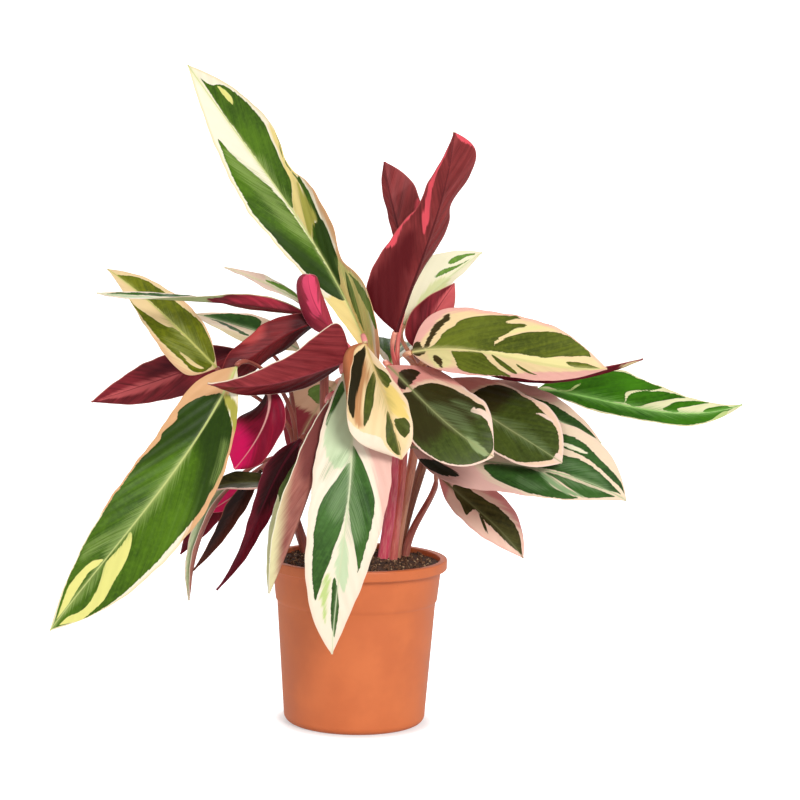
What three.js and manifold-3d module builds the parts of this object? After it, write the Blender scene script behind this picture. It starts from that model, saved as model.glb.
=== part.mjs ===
// A stromanthe triostar in its nursery pot. Millimetres, +Z up, the origin at the centre of the pot's base.
// Every leaf is one waved blade. Every rooted shoot is a cane with the stalks of its leaves grown onto it.
import * as THREE from "three";
import { mergeVertices } from "three/addons/utils/BufferGeometryUtils.js";
import Module from "manifold-3d";

const wasm = await Module();
wasm.setup();

// ---- driving dimensions -------------------------------------------------------------------------
const potHeight = 130;
const rimRadius = 70.5;
const rimBand = 8; // height of the rolled rim
const rimLip = 3.4; // width of the rim's flat top
const rimRound = 1.1; // how far its edges are rounded off
const collarTopRadius = 65.9; // upper band, just under the rim
const collarRadius = 63.2; // upper band, at its lower edge
const collarHeight = 97; // height of the step below the upper band
const stepIn = 1.1;
const footRadius = 55.5; // wall radius just above the rounded foot
const footRound = 6;
const innerStep = 3; // how far below the outer step the inner one is
const innerFoot = 10; // height at which the inner wall meets its slope to the floor
const potWall = 1.6;
const potFloor = 2.4;
const potSides = 40;
const drainHoles = 6;
const drainRadius = 4.5;
const drainRing = 38; // radius of the ring of holes, clear of the base's centre
const soilTop = 126;
const soilRise = 1.6; // how far the peat's surface rolls up and down
const gap = 0.3; // clearance between pieces that touch
const rootDepth = 40; // how deep the canes stand in the peat
const caneRadius = [4.4, 3.4]; // at the soil, at the crown
const stalkRadius = [2.3, 1.5]; // where it leaves the cane, below the swollen joint
const jointRadius = 2.1; // the swollen joint that carries the blade
const jointLength = 14;
const stalkRise = 0.5; // share of its reach for which a stalk keeps the cane's heading
const stalkRun = 0.4; // share of its reach for which it takes the blade's heading
const bladeThickness = 0.8;
const midribDepth = [1.6, 0.2]; // how far the midrib stands out below the blade, at the base and the tip
const leastHalfWidth = 0.7;
const rowLength = 20; // a blade's grid has a row for each such length of midrib
const endCrowding = 0.6; // how much closer the rows stand towards the base and the tip
const broadHalf = 23; // a half blade wider than this has three columns, and any other two
const arcSteps = 16; // small steps that add up to a blade's curve from the midrib to the margin
const usualShape = [0.42, 2.4, 2]; // where a blade is widest, how full its heel is and how full its point
const noWaist = [];

// ---- the shoots: a cane is a cubic Bezier from the soil to its crown -----------------------------
const shoots = [
  { name: "stem_center_front", cane: [[20, 7, soilTop], [26, 9, 173], [34, -6, 217], [16, -14, 262]] },
  { name: "stem_center", cane: [[27, 16, soilTop], [30, 14, 174], [40, 4, 220], [30, 2, 268]] },
  { name: "stem_center_right", cane: [[30, 27, soilTop], [34, 21, 177], [52, 12, 224], [43, 5, 276]] },
  { name: "stem_rear_right", cane: [[32, 41, soilTop], [38, 38, 168], [54, 25, 204], [60, 14, 244]] },
  {
    name: "stem_low_right", slim: 0.72,
    cane: [[38, 34, soilTop], [40, 35, 149], [56, 33, 167], [60, 18, 184]],
  },
  { name: "stem_left_inner", cane: [[-19, 26, soilTop], [-23, 24, 170], [-30, 12, 230], [-28, 6, 284]] },
  { name: "stem_left_outer", cane: [[-41, 32, soilTop], [-48, 33, 150], [-60, 30, 170], [-53, 24, 200]] },
  { name: "stem_back", cane: [[4, 34, soilTop], [6, 40, 160], [8, 34, 200], [4, 28, 236]] },
];

// ---- the leaves ----------------------------------------------------------------------------------
// rib: points of the midrib from base to tip. face: where the upper face looks, at the base and at the tip.
// wide: half widths [left, right] seen from above with the tip up.
// shape: where the blade is widest, how full its heel and how full its point.
// waist: dips of the margin, each as its place, the share of the width it takes and its span along the blade.
// fold: how steeply each half leaves the midrib. curl: how much further it turns up on its way to the margin.
// bend: how much of the curl waits for the margin. Each may differ by side, fold and curl from base to tip.
// wave: height of the margin's waves and how many. cells: grid rows, and grid columns for each half.
// leave: how far up the cane the stalk starts. rise, run: for what share of its reach it keeps the cane's
// heading and takes the blade's.
const leaves = [
  {
    name: "leaf_upper_left", stem: "stem_center_front", leave: 1,
    rib: [[12, -8, 276], [-23, 6, 349], [-74, 32, 422], [-143, 62, 511]],
    face: [[-0.3, -1, 0.2], [-0.2, -1, 0.3]], wide: [30, 30.5],
    shape: { left: [0.55, 1.2, 1.5], right: [0.62, 12, 2.5] },
    waist: { left: noWaist, right: [[0.3, 0.42, 0.06], [0.6, 0.34, 0.07]] }, cells: [14, 3],
    fold: { left: 14, right: [50, 8] }, curl: 6, wave: [2, 2.5],
  },
  {
    name: "leaf_lower_left", stem: "stem_left_outer", leave: 1, run: 0.15,
    rib: [[-93, -50, 282], [-131, -84, 213], [-173, -112, 156], [-220, -135, 94]],
    face: [[-0.15, -1, 0.35], [-0.1, -1, 0.3]], wide: [39, 27],
    shape: { left: [0.48, 1.8, 2.8], right: [0.4, 6, 2.3] }, fold: 10, curl: -6, wave: [1.5, 2],
  },
  {
    name: "leaf_mid_left", stem: "stem_left_outer", leave: 0.97,
    rib: [[-113, 12, 275], [-145, 28, 304], [-172, 42, 326], [-205, 60, 348]],
    face: [[-0.1, -1, 0.4], [-0.1, -1, 0.4]], wide: [24, 19],
    shape: { left: [0.22, 5, 1.3], right: [0.4, 2.2, 2] }, fold: 12, curl: 4, wave: [1, 2],
  },
  {
    name: "leaf_left_edge_on", stem: "stem_left_inner", leave: 0.98,
    rib: [[-40, 8, 318], [-92, 0, 327], [-150, -8, 330], [-204, -12, 333]],
    face: [[0, 1.1, 0.5], [0, -0.8, 1]], wide: [10, 9],
    shape: [0.42, 2.4, 3], fold: 10, curl: 6, wave: [1, 2],
  },
  {
    name: "leaf_left_thin", stem: "stem_left_inner", leave: 0.94,
    rib: [[-47, 35, 326], [-70, 42, 337], [-90, 48, 345], [-111, 52, 352]],
    face: [[0, -0.45, 0.9], [0, -0.4, 0.9]], wide: [8, 7.5], fold: 10, curl: 6, wave: [0.8, 2],
  },
  {
    name: "leaf_left_inner", stem: "stem_left_inner", leave: 0.9,
    rib: [[-48, 22, 289], [-79, 30, 302], [-106, 36, 309], [-133, 42, 315]],
    face: [[0, -0.5, 0.85], [0, -0.5, 0.85]], wide: [26, 14], fold: 12, curl: 6, wave: [1, 2],
  },
  {
    name: "leaf_left_back", stem: "stem_left_outer", leave: 0.93,
    rib: [[-98, 55, 286], [-139, 68, 269], [-180, 80, 253], [-221, 90, 238]],
    face: [[0, 0.9, 0.35], [0, 0.9, 0.35]], wide: [18, 24], fold: 8, curl: 8, wave: [1, 2],
  },
  {
    name: "leaf_left_curled", stem: "stem_left_inner", leave: 1,
    rib: [[-30, -2, 315], [-59, -16, 304], [-84, -30, 287], [-106, -40, 274]],
    face: [[0, 0.9, 0.4], [0, 0.9, 0.4]], wide: [15, 21],
    shape: [0.5, 3, 4], fold: 12, curl: 45, wave: [1.5, 2],
  },
  {
    name: "leaf_left_fold", stem: "stem_center_front", leave: 0.97,
    rib: [[-8, -22, 288], [-45, -48, 276], [-78, -68, 270], [-112, -82, 272]],
    face: [[0, 0.8, 0.6], [0, 0.8, 0.6]], wide: [36, 22],
    shape: { left: [0.15, 3, 0.95], right: [0.35, 3, 1.8] }, fold: 12, curl: 4, wave: [1, 2],
  },
  {
    name: "leaf_young_curl", stem: "stem_center_front", leave: 0.93,
    rib: [[-19, -14, 305], [-32, -21, 322], [-39, -26, 338], [-41, -31, 352]],
    face: [[0, 1, 0], [0, 1, 0]], wide: [12, 17],
    shape: { left: [0.6, 2, 6], right: [0.5, 3, 6] }, fold: 10, curl: { left: 80, right: [35, 90] }, wave: [0, 1],
  },
  {
    name: "leaf_upright_tall", stem: "stem_center", leave: 1,
    rib: [[26, -8, 308], [43, -20, 360], [59, -42, 412], [67, -62, 461]],
    face: [[-0.35, 0.9, 0.1], [-0.1, 0.95, 0.1]], wide: [23, 33],
    shape: { left: [0.85, 2.3, 2.4], right: [0.22, 3, 1.2] },
    waist: { left: [[0.63, 0.36, 0.08]], right: [[0.6, 0.15, 0.08]] },
    fold: { left: [60, 14], right: [5, 36] }, curl: 12, wave: [1.5, 2],
  },
  {
    name: "leaf_upright_short", stem: "stem_center", leave: 0.98,
    rib: [[33, 6, 362], [26, 10, 392], [20, 16, 414], [15, 20, 438]],
    face: [[0.3, 0.9, 0], [0.3, 0.9, 0]], wide: [21, 8], shape: [0.5, 2.4, 3], fold: 15, curl: 10, wave: [1, 2],
  },
  {
    name: "leaf_right_cream", stem: "stem_center_right", leave: 1,
    rib: [[33, 14, 312], [52, 20, 335], [72, 26, 353], [93, 30, 369]],
    face: [[0.1, -1, 0.4], [0.1, -1, 0.4]], wide: [24, 7], fold: 14, curl: 6, wave: [1, 2],
  },
  {
    name: "leaf_right_short", stem: "stem_center_right", leave: 0.98,
    rib: [[50, -2, 292], [50, -4, 308], [58, -4, 326], [71, -4, 346]],
    face: [[0, 1, 0.2], [0, 1, 0.2]], wide: [15, 17],
    shape: { left: [0.55, 2, 1.6], right: [0.3, 3, 1.6] }, fold: 10, curl: 10, wave: [1, 2],
  },
  {
    name: "leaf_right_broad", stem: "stem_center_right", leave: 0.98,
    rib: [[39, -22, 293], [91, -38, 296], [140, -50, 289], [186, -58, 287]],
    face: [[0.05, -0.8, 0.6], [0.05, -0.8, 0.6]], wide: [33, 29],
    shape: { left: [0.4, 6, 3.2], right: [0.35, 3, 2] }, fold: 20, curl: 0, wave: [1.5, 2],
  },
  {
    name: "leaf_right_edge_on", stem: "stem_center_right", leave: 0.94,
    rib: [[85, 0, 282], [139, -6, 272], [185, -8, 279], [218, -6, 291]],
    face: [[0, 0.45, 0.9], [0, 0.45, 0.9]], wide: [12, 12], fold: 10, curl: 10, wave: [0.5, 2],
  },
  {
    name: "leaf_far_right", stem: "stem_rear_right", leave: 0.93,
    rib: [[139, 23, 263], [192, 3, 256], [240, -14, 250], [293, -28, 259]],
    face: [[0, -0.7, 0.7], [0, -0.7, 0.7]], wide: [30, 15],
    shape: { left: [0.38, 2.4, 1.2], right: [0.7, 4, 2] }, fold: 12, curl: 0, wave: [1, 2],
  },
  {
    name: "leaf_right_front", stem: "stem_center", leave: 0.98,
    rib: [[21, -24, 283], [46, -60, 262], [74, -87, 240], [101, -94, 223]],
    face: [[0.1, -0.7, 0.7], [0.25, -1, 0.3]], wide: [33, 31],
    shape: [0.5, 3, 4], fold: 6, curl: -8, wave: [1.5, 2],
  },
  {
    name: "leaf_right_middle", stem: "stem_rear_right", leave: 0.98,
    rib: [[60, -12, 272], [94, -37, 250], [127, -61, 232], [153, -74, 217]],
    face: [[0.1, -0.8, 0.6], [0.2, -1, 0.3]], wide: [32, 23],
    shape: [0.55, 3, 3.5], fold: 6, curl: -6, wave: [1.5, 2],
  },
  {
    name: "leaf_lower_right", stem: "stem_rear_right", leave: 0.9,
    rib: [[41, -10, 219], [93, -40, 213], [148, -68, 209], [201, -84, 191]],
    face: [[0, -0.75, 0.65], [0, -0.9, 0.45]], wide: [38, 29],
    shape: { left: [0.62, 2, 2.6], right: [0.45, 3, 2.4] }, fold: 12, curl: 0, wave: [1.5, 2],
  },
  {
    name: "leaf_right_under", stem: "stem_rear_right", leave: 0.97,
    rib: [[71, 10, 261], [108, 1, 252], [150, -14, 243], [186, -28, 227]],
    face: [[0.1, -0.85, 0.5], [0.2, -0.9, 0.5]], wide: [22, 22],
    shape: [0.42, 2.4, 1.6], fold: 8, curl: 0, wave: [1, 2],
  },
  {
    name: "leaf_low_right", stem: "stem_low_right", leave: 1, run: 0.2,
    rib: [[62, 4, 196], [87, -14, 176], [110, -30, 158], [128, -38, 138]],
    face: [[-0.1, -1, 0.3], [-0.1, -1, 0.3]], wide: [21, 14.5],
    shape: [0.5, 2.4, 2.2], fold: 8, curl: 0, wave: [1, 2],
  },
  {
    name: "leaf_center_curled", stem: "stem_center_front", leave: 1,
    rib: [[4, -54, 302], [15, -82, 276], [26, -104, 248], [33, -107, 221]],
    face: [[0, -0.6, 0.8], [0, -1, -0.2]], wide: [14.5, 37.5],
    shape: { left: [0.6, 1.2, 4], right: [0.35, 4, 4] },
    fold: 4, curl: { left: [10, -10], right: [320, -60] }, bend: { left: 1, right: 3 },
    wave: [0.5, 2], cells: [10, 5],
  },
  {
    name: "leaf_center_drooping", stem: "stem_center_front", leave: 0.98,
    rib: [[-13, -50, 279], [-4, -90, 232], [-9, -114, 154], [-15, -122, 78]],
    face: [[0, -1, 0.4], [0, -1, 0]], wide: [30, 28],
    shape: { left: [0.4, 3, 1.7], right: [0.48, 2.4, 3.2] }, fold: 6, curl: -4, wave: [1, 2],
  },
  {
    name: "leaf_front_folded", stem: "stem_center_front", leave: 0.94, rise: 0.15,
    rib: [[-24, -54, 257], [-28, -86, 224], [-42, -104, 176], [-63, -110, 120]],
    face: [[-0.95, -0.25, 0], [-0.95, -0.25, 0]], wide: [24, 22],
    shape: [0.55, 1.6, 2], fold: 50, curl: 10, wave: [1, 2],
  },
  {
    name: "leaf_magenta_hanging", stem: "stem_left_inner", leave: 0.95,
    rib: [[-71, -18, 264], [-70, -34, 244], [-80, -42, 222], [-94, -44, 203]],
    face: [[0.1, 1, 0.2], [0.1, 1, 0.1]], wide: [24, 17], shape: [0.5, 2.4, 4],
    fold: 22, curl: 20, wave: [1, 2],
  },
  {
    name: "leaf_low_maroon", stem: "stem_left_outer", leave: 0.98,
    rib: [[-46, 2, 221], [-64, -6, 192], [-82, -10, 149], [-109, -10, 103]],
    face: [[0.2, 1, 0.2], [0.2, 1, 0.2]], wide: [14, 12],
    shape: { left: [0.25, 2, 0.8], right: [0.25, 2, 1.2] }, fold: 20, curl: 10, wave: [0.6, 2],
  },
  {
    name: "leaf_low_dark", stem: "stem_left_outer", leave: 0.96,
    rib: [[-77, 22, 194], [-94, 22, 167], [-111, 20, 138], [-130, 18, 113]],
    face: [[0.2, 1, 0.2], [0.2, 1, 0.2]], wide: [9, 6.5],
    shape: [0.4, 2, 1.3], fold: 15, curl: 10, wave: [0.6, 2],
  },
  {
    name: "leaf_low_thin", stem: "stem_left_outer", leave: 0.92,
    rib: [[-97, 38, 185], [-117, 40, 158], [-130, 40, 122], [-135, 38, 85]],
    face: [[-0.5, -0.8, 0.2], [-0.5, -0.8, 0.2]], wide: [11, 11], fold: 70, curl: 5, wave: [0.5, 2],
  },
  {
    name: "leaf_low_magenta", stem: "stem_left_outer", leave: 0.9,
    rib: [[-91, 48, 175], [-102, 52, 168], [-112, 54, 161], [-123, 56, 154]],
    face: [[0, 1, 0.2], [0, 1, 0.2]], wide: [10, 10], fold: 15, curl: 10, wave: [0.5, 2],
  },
  {
    name: "leaf_low_left", stem: "stem_left_outer", leave: 0.88,
    rib: [[-97, 62, 178], [-117, 66, 158], [-132, 68, 137], [-145, 70, 117]],
    face: [[0, 1, 0.2], [0, 1, 0.2]], wide: [11, 11], fold: 12, curl: 8, wave: [0.5, 2],
  },
  {
    name: "leaf_low_band", stem: "stem_left_outer", leave: 0.94,
    rib: [[-65, 14, 187], [-84, 9, 186], [-102, 5, 185], [-120, 3, 178]],
    face: [[0, -0.5, 0.85], [0, -0.5, 0.85]], wide: [13, 11], fold: 10, curl: 6, wave: [0.5, 2],
  },
  {
    name: "leaf_inner_pink", stem: "stem_back", leave: 1,
    rib: [[-20, 50, 262], [-34, 64, 242], [-46, 74, 220], [-56, 82, 196]],
    face: [[0.1, -0.9, 0.4], [0, -0.9, 0.4]], wide: [22, 24], fold: 10, curl: 0, wave: [1.5, 2],
  },
  {
    name: "leaf_back_high", stem: "stem_back", leave: 0.98,
    rib: [[22, 44, 276], [34, 78, 292], [48, 118, 284], [60, 150, 252]],
    face: [[0, 0.1, 1], [0.1, 0.7, 0.7]], wide: [27, 27], fold: 14, curl: 0, wave: [2, 2],
  },
  {
    name: "leaf_back_right", stem: "stem_back", leave: 0.95,
    rib: [[34, 58, 240], [68, 84, 248], [104, 108, 234], [136, 126, 204]],
    face: [[0.2, 0.2, 1], [0.5, 0.5, 0.6]], wide: [28, 28], fold: 14, curl: 0, wave: [2, 2],
  },
  {
    name: "leaf_back_low", stem: "stem_back", leave: 0.92,
    rib: [[2, 66, 222], [-6, 98, 216], [-14, 128, 192], [-22, 146, 156]],
    face: [[0, 0.4, 1], [0, 1, 0.4]], wide: [26, 26], fold: 12, curl: 0, wave: [1.5, 2],
  },
];

// ---- colours -------------------------------------------------------------------------------------
const finish = (color, roughness) => new THREE.MeshStandardMaterial({ color, roughness, metalness: 0 });
const potPlastic = finish(0xcf6f42, 0.5);
const peat = finish(0x2e2119, 0.95);
const stemSkin = finish(0xa9455a, 0.5);
const leafSkin = finish(0x3f7a34, 0.45);

// ---- solids and meshes ---------------------------------------------------------------------------
// A closed geometry as a solid: its corners are merged so that only shared positions are left.
function solidFrom(geometry) {
  const bare = new THREE.BufferGeometry().setAttribute("position", geometry.getAttribute("position"));
  bare.setIndex(geometry.getIndex());
  const merged = mergeVertices(bare, 1e-4);
  return new wasm.Manifold(
    new wasm.Mesh({
      numProp: 3,
      vertProperties: merged.attributes.position.array,
      triVerts: new Uint32Array(merged.index.array),
    }),
  );
}

function geometryFrom(solid) {
  const { numProp, vertProperties, triVerts } = solid.getMesh();
  const geometry = new THREE.BufferGeometry();
  const buffer = new THREE.InterleavedBuffer(vertProperties, numProp);
  const corner = new THREE.InterleavedBufferAttribute(buffer, 3, 0);
  const position = new THREE.Float32BufferAttribute(corner.count * 3, 3);
  for (let i = 0; i < corner.count; i++) position.setXYZ(i, corner.getX(i), corner.getY(i), corner.getZ(i));
  geometry.setAttribute("position", position);
  geometry.setIndex(new THREE.BufferAttribute(triVerts, 1));
  geometry.computeVertexNormals();
  return geometry;
}

function meshOf(name, solid, material) {
  const mesh = new THREE.Mesh(geometryFrom(solid), material);
  mesh.name = name;
  return mesh;
}

const mix = THREE.MathUtils.lerp;
const radians = THREE.MathUtils.degToRad;

// ---- pot and soil --------------------------------------------------------------------------------
// The wall's outside and inside radius follow the same straight slopes, step and rounded foot.
function wallRadius(z) {
  const top = potHeight - rimBand;
  if (z >= collarHeight) return mix(collarRadius, collarTopRadius, (z - collarHeight) / (top - collarHeight));
  return mix(footRadius, collarRadius - stepIn, (z - footRound) / (collarHeight - footRound));
}

function makePot() {
  const profile = [];
  const at = (r, z) => profile.push(new THREE.Vector2(r, z));
  const top = potHeight - rimBand;
  at(0, 0);
  for (let i = 0; i <= 3; i++) {
    const a = (i / 3) * (Math.PI / 2);
    at(footRadius - footRound * (1 - Math.sin(a)), footRound * (1 - Math.cos(a)));
  }
  at(wallRadius(collarHeight - stepIn), collarHeight - stepIn);
  at(collarRadius, collarHeight);
  at(collarTopRadius, top);
  at(rimRadius - rimRound, top);
  at(rimRadius, top + rimRound);
  at(rimRadius, potHeight - rimRound);
  at(rimRadius - rimRound, potHeight);
  at(rimRadius - rimRound - rimLip, potHeight);
  at(rimRadius - 2 * rimRound - rimLip, potHeight - rimRound);
  at(collarTopRadius - potWall, top - potWall);
  at(collarRadius - potWall, collarHeight);
  at(wallRadius(collarHeight - innerStep) - potWall, collarHeight - innerStep);
  at(wallRadius(innerFoot) - potWall, innerFoot);
  at(footRadius - footRound, potFloor);
  at(0, potFloor);
  let pot = solidFrom(new THREE.LatheGeometry(profile, potSides).rotateX(Math.PI / 2));
  for (let i = 0; i < drainHoles; i++) {
    const a = ((i + 0.5) / drainHoles) * 2 * Math.PI;
    const hole = new THREE.CylinderGeometry(drainRadius, drainRadius, 4 * potFloor, 14).rotateX(Math.PI / 2);
    hole.translate(drainRing * Math.cos(a), drainRing * Math.sin(a), potFloor / 2);
    pot = pot.subtract(solidFrom(hole));
  }
  return meshOf("pot", pot, potPlastic);
}

// The peat fills the pot. Its surface rolls by two crossed waves that fade out at the wall.
function makeSoil() {
  const profile = [];
  const at = (r, z) => profile.push(new THREE.Vector2(r, z));
  const inside = (z) => wallRadius(z) - potWall - 1.5 * gap;
  at(0, potFloor + gap);
  at(footRadius - footRound - gap, potFloor + gap);
  at(inside(innerFoot), innerFoot + gap);
  at(inside(collarHeight - innerStep), collarHeight - innerStep);
  at(inside(collarHeight), collarHeight + gap);
  const edge = inside(soilTop);
  for (const share of [1, 0.8, 0.55, 0.3, 0]) at(edge * share, soilTop);
  const body = new THREE.LatheGeometry(profile, potSides).rotateX(Math.PI / 2);
  const corner = body.getAttribute("position");
  for (let i = 0; i < corner.count; i++) {
    if (corner.getZ(i) < soilTop - 0.01) continue;
    const x = corner.getX(i);
    const y = corner.getY(i);
    const fade = 1 - Math.hypot(x, y) / edge;
    corner.setZ(i, soilTop + soilRise * fade * (Math.sin(x / 9) + Math.cos(y / 7)));
  }
  let soil = solidFrom(body);
  for (const shoot of shoots) {
    const [x, y] = shoot.cane[0];
    const radius = caneRadius[0] * (shoot.slim ?? 1) + gap;
    const length = 2 * (rootDepth + gap);
    const hole = new THREE.CylinderGeometry(radius, radius, length, 12).rotateX(Math.PI / 2);
    hole.translate(x, y, soilTop);
    soil = soil.subtract(solidFrom(hole));
  }
  return meshOf("soil", soil, peat);
}

// ---- blades --------------------------------------------------------------------------------------
// The midrib is the one polynomial through its points, each at its share of the length from base to tip.
function ribOf(points) {
  const corners = points.map((p) => new THREE.Vector3(...p));
  const along = [0];
  corners.slice(1).forEach((p, i) => along.push(along[i] + p.distanceTo(corners[i])));
  const length = along.at(-1);
  const share = along.map((s) => s / length);
  const at = (t) => {
    const sum = new THREE.Vector3();
    corners.forEach((p, i) => {
      let weight = 1;
      share.forEach((s, j) => (weight *= j === i ? 1 : (t - s) / (share[i] - s)));
      sum.addScaledVector(p, weight);
    });
    return sum;
  };
  const tangentAt = (t) => at(t + 1e-3).sub(at(t - 1e-3)).normalize();
  return { at, tangentAt, length };
}

// A value given once, or once for each side.
function sideOf(value, side) {
  if (value.left === undefined) return value;
  return side < 0 ? value.left : value.right;
}

// One number or [base, tip], read at t along the midrib.
function reading(value, side, t) {
  const own = sideOf(value, side);
  return Array.isArray(own) ? mix(own[0], own[1], t) : own;
}

// The half width over the length. It is widest at one share of the length, and falls off from there to the
// base and to the tip as two powers: 1 is a straight edge, 2 a parabola and more is fuller. A waist narrows
// it at some places.
function halfWidth(leaf, side, t) {
  const [widest, heel, point] = sideOf(leaf.shape ?? usualShape, side);
  const away = t < widest ? (1 - t / widest) ** heel : ((t - widest) / (1 - widest)) ** point;
  let half = leaf.wide[side < 0 ? 0 : 1] * (1 - away);
  for (const [place, depth, span] of sideOf(leaf.waist ?? noWaist, side)) {
    half *= 1 - depth * Math.exp(-(((t - place) / span) ** 2));
  }
  return Math.max(half, leastHalfWidth);
}

// A point of the upper face and the normal there. Across the blade each half leaves the midrib at the fold
// angle and turns by the curl angle up to the margin: evenly or, where bend is over 1, mostly near the
// margin. The margin rises and falls in waves.
function bladePoint(leaf, rib, t, across) {
  const side = across < 0 ? -1 : 1;
  const u = Math.abs(across);
  const tangent = rib.tangentAt(t);
  const facing = new THREE.Vector3(...leaf.face[0]).normalize();
  facing.lerp(new THREE.Vector3(...leaf.face[1]).normalize(), t);
  const normal = facing.addScaledVector(tangent, -facing.dot(tangent)).normalize();
  const right = new THREE.Vector3().crossVectors(tangent, normal);
  const fold = radians(reading(leaf.fold, side, t));
  const curl = radians(reading(leaf.curl, side, t));
  const bend = reading(leaf.bend ?? 1, side, t);
  const turnAt = (share) => fold + curl * share ** bend;
  let out = 0;
  let up = 0;
  for (let k = 0; k < arcSteps; k++) {
    const turn = turnAt((u * (k + 0.5)) / arcSteps);
    out += (halfWidth(leaf, side, t) * u * Math.cos(turn)) / arcSteps;
    up += (halfWidth(leaf, side, t) * u * Math.sin(turn)) / arcSteps;
  }
  const [height, count] = leaf.wave;
  const wave = height * u * u * Math.sin(2 * Math.PI * count * t + side) * Math.sin(Math.PI * t);
  const turn = u === 0 ? 0 : turnAt(u);
  const away = normal.clone().multiplyScalar(Math.cos(turn)).addScaledVector(right, -side * Math.sin(turn));
  const point = rib.at(t).addScaledVector(right, side * out).addScaledVector(normal, up);
  return { point: point.addScaledVector(away, wave), away };
}

// A blade is a grid of upper points and the same grid set down by its thickness, joined round the margin.
function makeBlade(leaf) {
  const rib = ribOf(leaf.rib);
  const usualRows = THREE.MathUtils.clamp(Math.round(rib.length / rowLength), 6, 11);
  const usualPerSide = Math.max(...leaf.wide) > broadHalf ? 3 : 2;
  const [rows, perSide] = leaf.cells ?? [usualRows, usualPerSide];
  const columns = 2 * perSide;
  const points = [];
  for (const lower of [0, 1]) {
    for (let i = 0; i <= rows; i++) {
      const even = i / rows;
      const t = mix(even, (1 - Math.cos(Math.PI * even)) / 2, endCrowding);
      for (let j = 0; j <= columns; j++) {
        const { point, away } = bladePoint(leaf, rib, t, (j - perSide) / perSide);
        const ridge = j === perSide ? mix(midribDepth[0], midribDepth[1], t) : 0;
        points.push(point.addScaledVector(away, -lower * (bladeThickness + ridge)));
      }
    }
  }
  const index = [];
  const upper = (i, j) => i * (columns + 1) + j;
  const lower = (i, j) => upper(rows + 1 + i, j);
  const quad = (a, b, c, d) => index.push(a, b, c, a, c, d);
  for (let i = 0; i < rows; i++) {
    for (let j = 0; j < columns; j++) {
      quad(upper(i, j), upper(i, j + 1), upper(i + 1, j + 1), upper(i + 1, j));
      index.push(lower(i, j), lower(i + 1, j + 1), lower(i, j + 1));
      index.push(lower(i, j), lower(i + 1, j), lower(i + 1, j + 1));
    }
    quad(upper(i, 0), upper(i + 1, 0), lower(i + 1, 0), lower(i, 0));
    quad(upper(i + 1, columns), upper(i, columns), lower(i, columns), lower(i + 1, columns));
  }
  for (let j = 0; j < columns; j++) {
    quad(upper(0, j + 1), upper(0, j), lower(0, j), lower(0, j + 1));
    quad(upper(rows, j), upper(rows, j + 1), lower(rows, j + 1), lower(rows, j));
  }
  const geometry = new THREE.BufferGeometry().setFromPoints(points);
  geometry.setIndex(index);
  return meshOf(leaf.name, solidFrom(geometry), leafSkin);
}

// ---- stems ---------------------------------------------------------------------------------------
// A closed tube round a curve, its radius given for each share of the length.
function tubeAlong(curve, radiusAt, sides, steps) {
  const frames = curve.computeFrenetFrames(steps, false);
  const points = [];
  for (let i = 0; i <= steps; i++) {
    const center = curve.getPointAt(i / steps);
    for (let j = 0; j < sides; j++) {
      const a = (j / sides) * 2 * Math.PI;
      const out = frames.normals[i].clone().multiplyScalar(Math.cos(a));
      out.addScaledVector(frames.binormals[i], Math.sin(a));
      points.push(center.clone().addScaledVector(out, radiusAt(i / steps)));
    }
  }
  const first = points.push(curve.getPointAt(0)) - 1;
  const last = points.push(curve.getPointAt(1)) - 1;
  const index = [];
  for (let j = 0; j < sides; j++) {
    const next = (j + 1) % sides;
    for (let i = 0; i < steps; i++) {
      const a = i * sides + j;
      const b = i * sides + next;
      index.push(a, b, b + sides, a, b + sides, a + sides);
    }
    index.push(first, next, j);
    index.push(last, steps * sides + j, steps * sides + next);
  }
  const geometry = new THREE.BufferGeometry().setFromPoints(points);
  geometry.setIndex(index);
  return solidFrom(geometry);
}

function caneOf(shoot) {
  return new THREE.CubicBezierCurve3(...shoot.cane.map((p) => new THREE.Vector3(...p)));
}

// A stalk leaves the cane along it and reaches the blade along its midrib.
function stalkOf(leaf, cane) {
  const rib = ribOf(leaf.rib);
  const from = cane.getPointAt(leaf.leave);
  const heading = rib.tangentAt(0);
  const to = rib.at(0).addScaledVector(heading, -gap);
  const reach = from.distanceTo(to);
  const a = from.clone().addScaledVector(cane.getTangentAt(leaf.leave), reach * (leaf.rise ?? stalkRise));
  const b = to.clone().addScaledVector(heading, -reach * (leaf.run ?? stalkRun));
  return new THREE.CubicBezierCurve3(from, a, b, to);
}

function stalkRadiusAt(share, length) {
  const joint = jointLength / length;
  const fromEnd = (1 - share) / joint;
  if (fromEnd < 1) return mix(jointRadius, stalkRadius[1], fromEnd ** 3);
  return mix(stalkRadius[0], stalkRadius[1], Math.min(share * 1.5, 1));
}

function makeStem(shoot) {
  const slim = shoot.slim ?? 1;
  const cane = caneOf(shoot);
  const foot = new THREE.Vector3(...shoot.cane[0]);
  const root = foot.clone();
  root.z = soilTop - rootDepth;
  const buried = new THREE.LineCurve3(root, foot.clone().setZ(soilTop + 1));
  let stem = tubeAlong(buried, () => caneRadius[0] * slim, 10, 1);
  stem = stem.add(tubeAlong(cane, (s) => slim * mix(caneRadius[0], caneRadius[1], s), 8, 9));
  for (const leaf of leaves.filter((one) => one.stem === shoot.name)) {
    const stalk = stalkOf(leaf, cane);
    const length = stalk.getLength();
    stem = stem.add(tubeAlong(stalk, (s) => stalkRadiusAt(s, length), 6, 7));
  }
  return meshOf(shoot.name, stem, stemSkin);
}

// ---- the plant -----------------------------------------------------------------------------------
const plant = new THREE.Group();
plant.add(makePot(), makeSoil());
for (const shoot of shoots) plant.add(makeStem(shoot));
for (const leaf of leaves) plant.add(makeBlade(leaf));

export default plant;
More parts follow.
